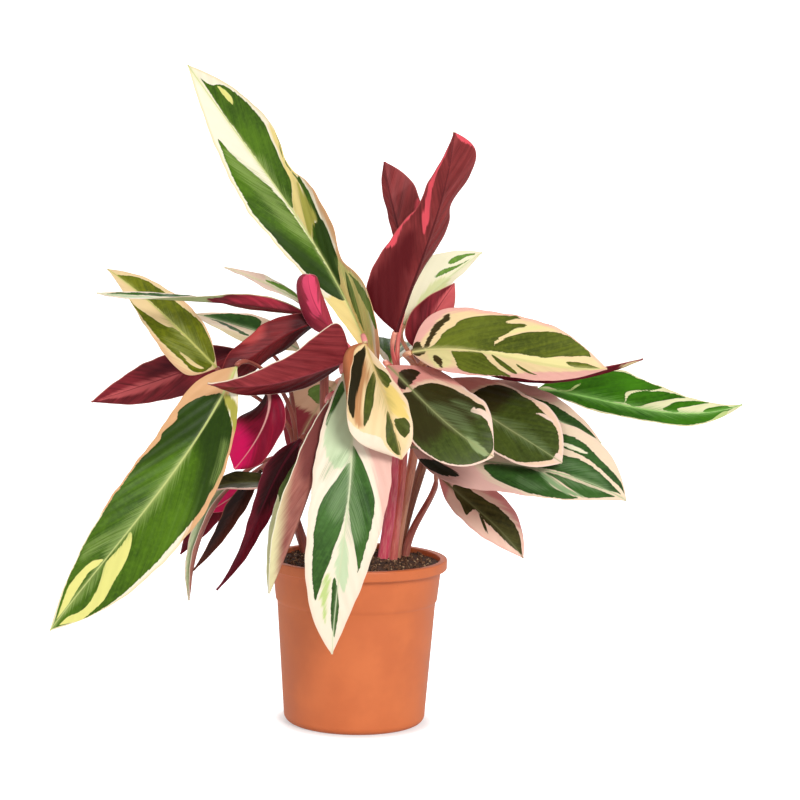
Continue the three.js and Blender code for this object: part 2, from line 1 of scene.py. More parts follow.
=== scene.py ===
# A stromanthe triostar in its nursery pot: fine blades, stems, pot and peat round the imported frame.
# Lengths are in millimetres and angles in degrees, and the finished meshes are in metres.
import math

import bpy
import numpy as np
from mathutils import Matrix, Vector


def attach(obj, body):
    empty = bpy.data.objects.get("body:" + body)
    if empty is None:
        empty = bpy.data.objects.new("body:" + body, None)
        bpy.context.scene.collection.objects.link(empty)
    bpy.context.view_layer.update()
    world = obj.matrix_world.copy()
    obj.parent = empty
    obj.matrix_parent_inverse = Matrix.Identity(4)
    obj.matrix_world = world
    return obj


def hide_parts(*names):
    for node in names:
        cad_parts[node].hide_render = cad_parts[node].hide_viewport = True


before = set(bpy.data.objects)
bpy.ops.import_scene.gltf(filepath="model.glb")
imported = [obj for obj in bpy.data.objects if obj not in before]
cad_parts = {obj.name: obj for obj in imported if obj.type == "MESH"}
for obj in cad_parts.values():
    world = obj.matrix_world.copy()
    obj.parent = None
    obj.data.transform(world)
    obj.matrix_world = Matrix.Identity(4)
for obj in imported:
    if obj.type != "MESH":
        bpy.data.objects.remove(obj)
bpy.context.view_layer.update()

metre = 0.001  # one millimetre in metres

cameraLook = {
    "place": (30.9, -1800, 438.8),
    "down": 5.863,  # how far it looks below the horizon
    "lean": 1.22,  # how far its top leans to the left
    "lens": 104.7, "film": 36, "reach": 20,
}


def makeCamera():
    look = cameraLook
    data = bpy.data.cameras.new("camera")
    data.lens = look["lens"]
    data.sensor_width = look["film"]
    data.clip_end = look["reach"]
    camera = bpy.data.objects.new("camera", data)
    bpy.context.scene.collection.objects.link(camera)
    tilt = Matrix.Rotation(math.radians(90 - look["down"]), 4, "X")
    lean = Matrix.Rotation(math.radians(look["lean"]), 4, "Z")
    camera.matrix_world = Matrix.Translation(Vector(look["place"]) * metre) @ tilt @ lean
    bpy.context.scene.camera = camera


def mix(a, b, share):
    return a + (b - a) * share


def smooth(low, high, value):  # 0 below low, 1 above high, and an S-shaped rise between
    share = np.clip((value - low) / (high - low), 0, 1)
    return share * share * (3 - 2 * share)


def bell(value, width):  # 1 at 0, falling off evenly on both sides
    return np.exp(-((value / width) ** 2))


def unit(v):
    return v / np.linalg.norm(v, axis=-1, keepdims=True)


def runOf(points):  # how far along its path each point lies
    steps = np.linalg.norm(np.diff(points, axis=0), axis=1)
    return np.concatenate([[0], np.cumsum(steps)])


# Every mesh is made here. A face is a row of four corners, or a triangle where the last two are the same,
# and kinds is its material's number.
def meshFrom(name, points, faces, materials, kinds=0, softened=True):
    faces = np.asarray(faces, np.int32)
    kept = np.ones(faces.shape, bool)
    kept[:, 3] = faces[:, 2] != faces[:, 3]
    sizes = kept.sum(1).astype(np.int32)
    mesh = bpy.data.meshes.new(name)
    mesh.vertices.add(len(points))
    mesh.vertices.foreach_set("co", (np.asarray(points) * metre).astype(np.float32).ravel())
    mesh.loops.add(int(sizes.sum()))
    mesh.loops.foreach_set("vertex_index", faces[kept])
    mesh.polygons.add(len(faces))
    mesh.polygons.foreach_set("loop_start", (np.cumsum(sizes) - sizes).astype(np.int32))
    mesh.polygons.foreach_set("loop_total", sizes)
    for material in materials:
        mesh.materials.append(material)
    mesh.polygons.foreach_set("material_index", np.asarray(kinds + np.zeros(len(faces)), np.int32))
    mesh.polygons.foreach_set("use_smooth", np.full(len(faces), softened))
    mesh.update(calc_edges=True)
    mesh.validate()
    piece = bpy.data.objects.new(name, mesh)
    bpy.context.scene.collection.objects.link(piece)
    return piece


# Faces over rings of points, with one more point for each end: quads between the rings, and a fan to each
# of the two points.
def ringFaces(rings, sides):
    k = np.arange(sides)
    after = (k + 1) % sides
    ring = np.arange(rings - 1)[:, None] * sides
    a, b = (ring + k).ravel(), (ring + after).ravel()
    first, rim = rings * sides, (rings - 1) * sides
    walls = np.stack([a, b, b + sides, a + sides], 1)
    start = np.stack([np.full(sides, first), after, k, k], 1)
    end = np.stack([np.full(sides, first + 1), rim + k, rim + after, rim + after], 1)
    return np.concatenate([walls, start, end])


def keepValue(piece, name, values):
    values = np.asarray(values, np.float32)
    kind, slot = ("FLOAT", "value") if values.ndim == 1 else ("FLOAT_VECTOR", "vector")
    field = piece.data.attributes.new(name, kind, "POINT")
    field.data.foreach_set(slot, values.ravel())


def stands(piece, node):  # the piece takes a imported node's place on the one body
    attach(piece, "root")
    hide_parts(node)


def paint(red, green, blue):  # a screen colour of 0 to 255 as the linear one that the shaders take
    share = [c / 255 for c in (red, green, blue)]
    return tuple(c / 12.92 if c < 0.04045 else ((c + 0.055) / 1.055) ** 2.4 for c in share) + (1,)


class Wiring:
    # Adds nodes to a tree. An input is given as a value or as the output that feeds it.
    def __init__(self, tree):
        self.tree = tree

    def feed(self, socket, source):
        if isinstance(source, bpy.types.NodeSocket):
            self.tree.links.new(source, socket)
        else:
            socket.default_value = source

    def add(self, kind, inputs=(), **settings):
        node = self.tree.nodes.new("ShaderNode" + kind)
        for key, value in settings.items():
            setattr(node, key, value)
        for key, source in dict(inputs).items():
            self.feed(node.inputs[key], source)
        return node

    def math(self, operation, *values):
        return self.add("Math", enumerate(values), operation=operation).outputs[0]

    def times(self, a, b):
        return self.math("MULTIPLY", a, b)

    def field(self, name, output="Fac"):
        return self.add("Attribute", attribute_name=name).outputs[output]

    def place(self):
        return self.add("TexCoord").outputs["Object"]

    def ramp(self, value, low, high, to=(0.0, 1.0), steps="LINEAR"):
        inputs = {"Value": value, "From Min": low, "From Max": high, "To Min": to[0], "To Max": to[1]}
        return self.add("MapRange", inputs, interpolation_type=steps).outputs[0]

    def rise(self, value, low, high, to=(0.0, 1.0)):  # a ramp with soft ends
        return self.ramp(value, low, high, to, "SMOOTHSTEP")

    def blend(self, share, a, b):
        return self.add("Mix", {0: share, 6: a, 7: b}, data_type="RGBA").outputs[2]

    def noise(self, vector, scale, detail=2.0, roughness=0.5):
        inputs = {"Vector": vector, "Scale": scale, "Detail": detail, "Roughness": roughness}
        return self.add("TexNoise", inputs).outputs[0]

    def group(self, group, inputs):
        node = self.tree.nodes.new("ShaderNodeGroup")
        node.node_tree = group
        for key, source in inputs.items():
            self.feed(node.inputs[key], source)
        return node.outputs


def newGroup(name, inputs, outputs):  # inputs as label: default, where None makes a vector
    group = bpy.data.node_groups.new(name, "ShaderNodeTree")
    for label, value in inputs.items():
        kind = "NodeSocketVector" if value is None else "NodeSocketFloat"
        socket = group.interface.new_socket(label, in_out="INPUT", socket_type=kind)
        if value is not None:
            socket.default_value = value
    for label in outputs:
        group.interface.new_socket(label, in_out="OUTPUT", socket_type="NodeSocketFloat")
    start = group.nodes.new("NodeGroupInput").outputs
    end = group.nodes.new("NodeGroupOutput").inputs
    return group, Wiring(group), start, end


def newMaterial(name):
    material = bpy.data.materials.new(name)
    material.use_nodes = True
    return material, Wiring(material.node_tree), material.node_tree.nodes["Principled BSDF"]


# Feeds the surface its colour, its roughness and the grain that raises it by depth, in metres.
def finish(wire, surface, colour, roughness, grain, strength, depth):
    wire.feed(surface.inputs["Base Color"], colour)
    wire.feed(surface.inputs["Roughness"], roughness)
    bump = wire.add("Bump", {"Height": grain, "Strength": strength, "Distance": depth})
    wire.feed(surface.inputs["Normal"], bump.outputs[0])


streakLook = {
    "Broad": (0.2, 0.05), "Fine": (0.9, 0.08),  # noise per millimetre across and along the side veins
    "noise": (1.0, 3.0, 0.6), "contrast": (0.3, 0.7),
    "lineSpacing": 2.6, "lineBend": 1.6,  # fine lines, and how far the broad streaks push them aside
}


# Streaks along the side veins. Veins holds the place across the veins, the place along them and the piece's
# own number.
def makeStreakGroup():
    look = streakLook
    group, wire, start, end = newGroup("veinStreaks", {"Veins": None}, ["Broad", "Fine", "Lines"])
    veins = start["Veins"]
    streak = {}
    for label in ("Broad", "Fine"):
        across, along = look[label]
        stretched = wire.add("VectorMath", {0: veins, 1: (across, along, 1)}, operation="MULTIPLY").outputs[0]
        streak[label] = wire.ramp(wire.noise(stretched, *look["noise"]), *look["contrast"])
        wire.feed(end[label], streak[label])
    across = wire.add("SeparateXYZ", {0: veins}).outputs[0]
    bent = wire.math("ADD", across, wire.times(streak["Broad"], look["lineBend"]))
    wave = wire.math("SINE", wire.times(bent, 2 * math.pi / look["lineSpacing"]))
    wire.feed(end["Lines"], wire.math("MULTIPLY_ADD", wave, 0.5, 0.5))
    return group


# A patch from its signed distance: the streaks shift its border by Ragged, and it fades over Soft.
def makePatchGroup():
    inputs = {"Distance": -9.0, "Streak": 0.5, "Ragged": 2.0, "Soft": 0.4}
    group, wire, start, end = newGroup("veinPatch", inputs, ["Mask"])
    shift = wire.times(wire.math("SUBTRACT", start["Streak"], 0.5), start["Ragged"])
    shifted = wire.math("ADD", start["Distance"], shift)
    wire.feed(end["Mask"], wire.rise(shifted, wire.times(start["Soft"], -1.0), start["Soft"]))
    return group


# Each finish of an upper face: its grounds and the colours of its patches. dark also deepens the green
# where it lies in shade.
upperLooks = {
    "upper_fresh": {
        "pale": (250, 240, 214), "margin": (236, 218, 164), "rose": (224, 172, 124), "gold": (244, 220, 142),
        "milk": (176, 170, 76), "green": (74, 108, 14), "deep": (46, 76, 6), "dark": (34, 54, 10),
        "cream": (234, 228, 134), "hazeAndSheen": (146, 170, 90), "rib": (204, 212, 132), "marginWidth": 1.6,
    },
    "upper_mid": {
        "pale": (242, 212, 158), "margin": (238, 208, 166), "rose": (232, 186, 142), "green": (116, 120, 12),
        "deep": (68, 84, 6), "cream": (236, 210, 152), "hazeAndSheen": (158, 164, 90), "rib": (196, 196, 104),
        "marginWidth": 1.4,
    },
    "upper_vivid": {
        "pale": (238, 234, 186), "margin": (236, 228, 178), "green": (56, 112, 6), "deep": (30, 78, 0),
        "cream": (204, 220, 140), "hazeAndSheen": (120, 172, 84), "rib": (150, 206, 106), "marginWidth": 1.2,
    },
    "upper_olive": {
        "pale": (240, 204, 174), "margin": (246, 216, 204), "rose": (224, 150, 138), "milk": (146, 160, 106),
        "green": (70, 84, 26), "deep": (46, 56, 12), "dark": (46, 34, 12), "cream": (244, 212, 192),
        "hazeAndSheen": (112, 130, 82), "rib": (150, 156, 102), "marginWidth": 1.6,
    },
    "upper_broad": {
        "pale": (242, 214, 162), "margin": (240, 186, 172), "rose": (238, 178, 164), "gold": (234, 222, 156),
        "green": (96, 106, 26), "deep": (60, 70, 12), "dark": (62, 50, 18), "hazeAndSheen": (138, 148, 90),
        "rib": (224, 214, 146), "marginWidth": 2.4,
    },
    "upper_grey": {
        "pale": (246, 232, 208), "margin": (248, 222, 198), "rose": (236, 188, 172), "gold": (196, 214, 136),
        "milk": (204, 220, 178), "green": (62, 100, 38), "deep": (40, 70, 24), "dark": (38, 62, 26),
        "hazeAndSheen": (130, 158, 108), "rib": (210, 218, 176), "marginWidth": 2.2,
    },
    "upper_lime": {
        "pale": (246, 238, 206), "margin": (246, 236, 208), "rose": (240, 210, 190), "milk": (222, 224, 166),
        "green": (110, 150, 56), "deep": (84, 126, 36), "hazeAndSheen": (206, 212, 158), "rib": (220, 224, 170),
        "marginWidth": 1.4,
    },
    "upper_leek": {
        "pale": (228, 224, 166), "margin": (240, 234, 206), "green": (92, 108, 52), "deep": (62, 74, 30),
        "dark": (46, 52, 24), "hazeAndSheen": (146, 158, 104), "rib": (190, 196, 140), "marginWidth": 1.0,
    },
    "upper_blush": {
        "pale": (222, 180, 146), "margin": (224, 196, 172), "rose": (150, 56, 64), "green": (92, 120, 50),
        "deep": (66, 92, 32), "hazeAndSheen": (164, 160, 110), "rib": (196, 170, 130), "marginWidth": 1.4,
    },
    "upper_shade": {
        "pale": (238, 214, 184), "margin": (240, 210, 186), "rose": (240, 192, 178), "gold": (226, 206, 160),
        "milk": (140, 166, 118), "green": (52, 88, 34), "deep": (30, 58, 16), "dark": (34, 40, 16),
        "cream": (238, 230, 196), "hazeAndSheen": (112, 140, 94), "rib": (166, 184, 136), "marginWidth": 2.0,
    },
    "upper_night": {
        "pale": (246, 206, 184), "margin": (238, 172, 160), "rose": (230, 152, 146), "green": (74, 70, 28),
        "deep": (40, 40, 14), "hazeAndSheen": (84, 84, 40), "rib": (108, 110, 68), "marginWidth": 1.2,
    },
    "upper_gold": {
        "pale": (242, 212, 160), "margin": (246, 218, 190), "rose": (196, 140, 92), "gold": (240, 208, 120),
        "green": (80, 90, 28), "deep": (56, 64, 16), "dark": (40, 34, 12), "cream": (250, 226, 200),
        "hazeAndSheen": (170, 156, 86), "rib": (222, 192, 128), "marginWidth": 3.0,
    },
}

# Each finish of an underside: the ground, its shade and its pink streaks. through is how far a pale patch
# of the upper face shows, and fade how softly a streak ends.
underLooks = {
    "under_wine": {
        "base": (152, 56, 56), "deep": (100, 28, 30), "streak": (228, 82, 94), "shade": (92, 16, 22),
        "pale": (190, 92, 92), "margin": (180, 80, 78), "rib": (72, 18, 24), "through": 0.2,
    },
    "under_maroon": {
        "base": (154, 44, 54), "deep": (92, 20, 26), "streak": (212, 96, 98), "shade": (78, 14, 26),
        "pale": (166, 66, 70), "margin": (206, 132, 116), "rib": (116, 36, 46), "through": 0.15, "fade": 3.0,
    },
    "under_fold": {
        "base": (166, 62, 66), "deep": (106, 26, 32), "shade": (80, 4, 12), "pale": (176, 74, 82),
        "margin": (242, 220, 196), "rib": (168, 70, 80), "through": 0.12,
    },
    "under_hot": {
        "base": (186, 60, 76), "deep": (150, 34, 60), "streak": (234, 78, 114), "shade": (150, 42, 62),
        "pale": (230, 130, 140), "margin": (240, 150, 160), "rib": (176, 50, 76), "through": 0.1,
    },
    "under_crimson": {
        "base": (148, 10, 44), "deep": (110, 8, 38), "streak": (226, 20, 96), "shade": (60, 2, 10),
        "pale": (186, 50, 84), "margin": (220, 120, 124), "rib": (238, 176, 166), "through": 0.08,
        "fade": 7.0,
    },
    "under_plum": {
        "base": (132, 22, 44), "deep": (94, 10, 28), "streak": (222, 196, 150), "shade": (52, 0, 6),
        "pale": (120, 36, 52), "margin": (150, 60, 76), "rib": (98, 22, 40), "through": 0.1,
    },
    "under_night": {
        "base": (94, 48, 36), "deep": (62, 28, 20), "shade": (34, 14, 8), "pale": (104, 54, 44),
        "margin": (136, 80, 62), "rib": (60, 28, 20), "through": 0.1,
    },
    "under_brick": {
        "base": (146, 44, 48), "deep": (98, 22, 28), "streak": (184, 70, 68), "shade": (68, 14, 20),
        "pale": (170, 66, 64), "margin": (150, 56, 54), "rib": (120, 34, 40), "through": 0.1, "fade": 4.0,
    },
    "under_tipped": {
        "base": (136, 40, 54), "deep": (96, 22, 34), "streak": (192, 204, 146), "shade": (196, 56, 76),
        "pale": (166, 66, 70), "margin": (206, 190, 150), "rib": (120, 44, 50), "through": 0.1,
    },
    "under_rosy": {
        "base": (158, 82, 78), "deep": (128, 60, 58), "shade": (84, 34, 36), "pale": (222, 156, 138),
        "margin": (234, 200, 175), "rib": (200, 130, 115), "through": 0.7,
    },
    "under_fade": {
        "base": (188, 124, 108), "deep": (150, 82, 74), "streak": (234, 224, 172), "shade": (124, 64, 60),
        "pale": (214, 150, 132), "margin": (240, 230, 206), "rib": (196, 136, 116), "through": 0.5,
        "fade": 9.0,
    },
    "under_amber": {
        "base": (184, 100, 60), "deep": (154, 74, 42), "shade": (92, 42, 26), "pale": (204, 130, 86),
        "margin": (240, 204, 160), "rib": (196, 120, 84), "through": 0.5,
    },
}

# How the colours of an upper face lie over one another. A patch's border is how far the streaks shift it and
# how softly it ends. margin, rim, feathers and rib end in the strength of their colour.
upperVeils = {
    "borders": {"gold": (4, 2), "rose": (4, 2.5), "shade": (7, 6), "green": (1.2, 0.25), "dark": (2, 0.5),
                "cream": (1.2, 0.3), "milk": (3, 1.6), "hazeAndSheen": (6, 4.5)},
    "margin": (1.6, 0.4, 0.6),  # from and to these numbers of margin widths
    "cloudNoise": (20, 3.0), "clouds": (0.5, 0.4),  # the strength of the bright clouds and of the deep ones
    "brighter": (1.25, 8),  # the bright green is the green times one number plus another
    "grainNoise": (300, 4.0, 0.65), "grain": 0.3,
    "rim": (2.0, 0.45),  # a deeper rim as wide as this inside the green
    "thin": 0.08, "shade": 0.8, "hazeAndSheen": (0.25, 0.8),
    "feathers": (-1.2, 3.0, 0.45), "rib": (-0.35, 0.15, 0.8),  # between these distances from the midrib
    "featherReach": (0.8, 2.2),  # how far the fine streaks and the clouds push the feathers out
    "roughness": (0.36, 0.5), "gloss": 0.16, "lines": 0.6, "relief": (0.25, 0.0001),
}


def tonesOf(look):
    return {label: paint(*tone) for label, tone in look.items() if isinstance(tone, tuple)}


def streaked(name, streaks):  # a material with its wiring and the streaks along its veins
    material, wire, surface = newMaterial(name)
    return material, wire, surface, wire.group(streaks, {"Veins": wire.field("veins", "Vector")})


def upperFace(name, look, streaks, patch):
    veil = upperVeils
    material, wire, surface, flow = streaked(name, streaks)
    width = look["marginWidth"]
    tones = tonesOf(look)
    more, plus = veil["brighter"]
    bright = paint(*[min(tone * more + plus, 255) for tone in look["green"]])

    def mask(kind, streak="Broad"):
        ragged, soft = veil["borders"][kind]
        inputs = {"Distance": wire.field(kind), "Streak": flow[streak], "Ragged": ragged, "Soft": soft}
        return wire.group(patch, inputs)["Mask"]

    def lay(colour, kinds):  # the patches that this finish has
        for kind in kinds:
            if kind in look:
                colour = wire.blend(mask(kind), colour, tones[kind])
        return colour

    far, near, strength = veil["margin"]
    nearMargin = wire.rise(wire.field("edge"), width * far, width * near, to=(0.0, strength))
    colour = lay(wire.blend(nearMargin, tones["pale"], tones["margin"]), ("gold", "rose"))

    place = wire.place()
    cloud = wire.ramp(wire.noise(place, *veil["cloudNoise"]), 0.3, 0.7)
    green = wire.blend(flow["Broad"], tones["deep"], tones["green"])
    brightest, deepest = veil["clouds"]
    green = wire.blend(wire.ramp(cloud, 0.4, 1.0, to=(0.0, brightest)), green, bright)
    green = wire.blend(wire.ramp(cloud, 0.5, 0.0, to=(0.0, deepest)), green, tones["deep"])
    grain = wire.rise(wire.noise(place, *veil["grainNoise"]), 0.4, 0.7, to=(0.0, veil["grain"]))
    green = wire.blend(grain, green, bright)
    rimWidth, strength = veil["rim"]
    rim = wire.rise(wire.field("green"), rimWidth, 0.0, to=(0.0, strength))
    green = wire.blend(rim, green, tones["deep"])
    thin = wire.times(wire.math("POWER", flow["Fine"], 3.0), veil["thin"])
    green = wire.blend(thin, green, tones["hazeAndSheen"])
    if "dark" in look:
        green = wire.blend(wire.times(mask("shade"), veil["shade"]), green, tones["dark"])

    colour = lay(wire.blend(mask("green"), colour, green), ("dark", "cream", "milk"))
    # The pale veil is partly the blade's milky streaks and partly painted sheen: some of its outlines paint
    # highlights along bent margins and near the midrib.
    hazeAndSheenShare = wire.times(mask("hazeAndSheen", "Fine"), wire.ramp(flow["Fine"], 0.0, 1.0, to=veil["hazeAndSheen"]))
    colour = wire.blend(hazeAndSheenShare, colour, tones["hazeAndSheen"])
    fromRib = wire.field("rib")
    byStreak, byCloud = veil["featherReach"]
    uneven = wire.math("ADD", wire.times(flow["Fine"], byStreak), wire.times(cloud, byCloud))
    for label, distance in (("feathers", wire.math("ADD", fromRib, uneven)), ("rib", fromRib)):
        low, high, strength = veil[label]
        colour = wire.blend(wire.rise(distance, low, high, to=(0.0, strength)), colour, tones["rib"])
    raised = wire.math("ADD", wire.times(flow["Lines"], veil["lines"]), flow["Fine"])
    roughness = wire.ramp(flow["Fine"], 0.0, 1.0, to=veil["roughness"])
    finish(wire, surface, colour, roughness, raised, *veil["relief"])
    surface.inputs["Specular IOR Level"].default_value = veil["gloss"]
    return material


# How the colours of an underside lie over one another. margin is two distances from the blade's edge, and rib
# ends in the strength of its colour.
underVeils = {
    "borders": {"green": (2, 1.4), "shade": (7, 6), "streak": (3, 1)},
    "lines": 0.1, "cloudNoise": (26, 3.0), "clouds": 0.65,
    "margin": (0.9, 0.3), "rib": (-0.2, 0.4, 0.85),
    "roughness": (0.4, 0.56), "gloss": 0.16, "relief": (0.35, 0.00012),
}


def underFace(name, look, streaks, patch):
    veil = underVeils
    material, wire, surface, flow = streaked(name, streaks)
    tones = tonesOf(look)

    def mask(kind):
        ragged, soft = veil["borders"][kind]
        if kind == "streak":
            soft = look.get("fade", soft)
        inputs = {"Distance": wire.field(kind), "Streak": flow["Broad"], "Ragged": ragged, "Soft": soft}
        return wire.group(patch, inputs)["Mask"]

    colour = wire.blend(flow["Broad"], tones["deep"], tones["base"])
    colour = wire.blend(wire.times(flow["Lines"], veil["lines"]), colour, tones["pale"])
    bare = wire.math("SUBTRACT", 1.0, mask("green"))
    colour = wire.blend(wire.times(bare, look["through"]), colour, tones["pale"])
    cloud = wire.ramp(wire.noise(wire.place(), *veil["cloudNoise"]), 0.52, 0.3, to=(0.0, veil["clouds"]))
    colour = wire.blend(cloud, colour, tones["shade"])
    for kind in ("shade", "streak"):
        if kind in look:
            colour = wire.blend(mask(kind), colour, tones[kind])
    colour = wire.blend(wire.rise(wire.field("edge"), *veil["margin"]), colour, tones["margin"])
    low, high, strength = veil["rib"]
    colour = wire.blend(wire.rise(wire.field("rib"), low, high, to=(0.0, strength)), colour, tones["rib"])
    raised = wire.math("ADD", flow["Lines"], flow["Fine"])
    roughness = wire.ramp(flow["Fine"], 0.0, 1.0, to=veil["roughness"])
    finish(wire, surface, colour, roughness, raised, *veil["relief"])
    surface.inputs["Specular IOR Level"].default_value = veil["gloss"]
    return material


bladeLook = {
    "cell": 1.3,  # size of the grid's cells
    "endRows": 0.4,  # how far the rows crowd to both ends
    "lastColumn": 0.985,  # the share of the half width at the last column before the margin
    "thickness": (0.8, 0.35),  # at the midrib, at the margin
    "ridge": (1.6, 0.2), "ridgeHalf": 1.6,  # how far the midrib stands out below, at the base and the tip
    "groove": 0.35, "grooveHalf": 1.1,
    "veinSpacing": 4.4, "veinRise": 0.03,
    "swell": 0.2, "swellSpacing": 19,
    "ruffle": 0.6, "ruffleSpacing": (37, 16),  # how far the margin runs in and out, and its two wave lengths
    "longRuffle": 0.6,  # the share of the longer wave
    "leastRuffled": 6,  # a narrower half ruffles as this half width would
    "settled": (0.25, 0.8),  # the veins rise up to this share of the half width and sink from that one
    "leastHalfWidth": 0.7,
    "ribHalf": (0.75, 0.15),  # half width of the coloured midrib, at the base and the tip
    "veinSlope": 1.9, "veinBend": 0.02,  # how far the side veins sweep towards the tip
    "outside": -40,  # the signed distance where a blade has no patch of a kind
    "apart": 3.7,  # the step between two blades in the noise of their streaks
}
usualShape = (0.42, 2.4, 2)
areaKinds = ("gold", "rose", "milk", "hazeAndSheen", "green", "dark", "cream", "shade", "streak")
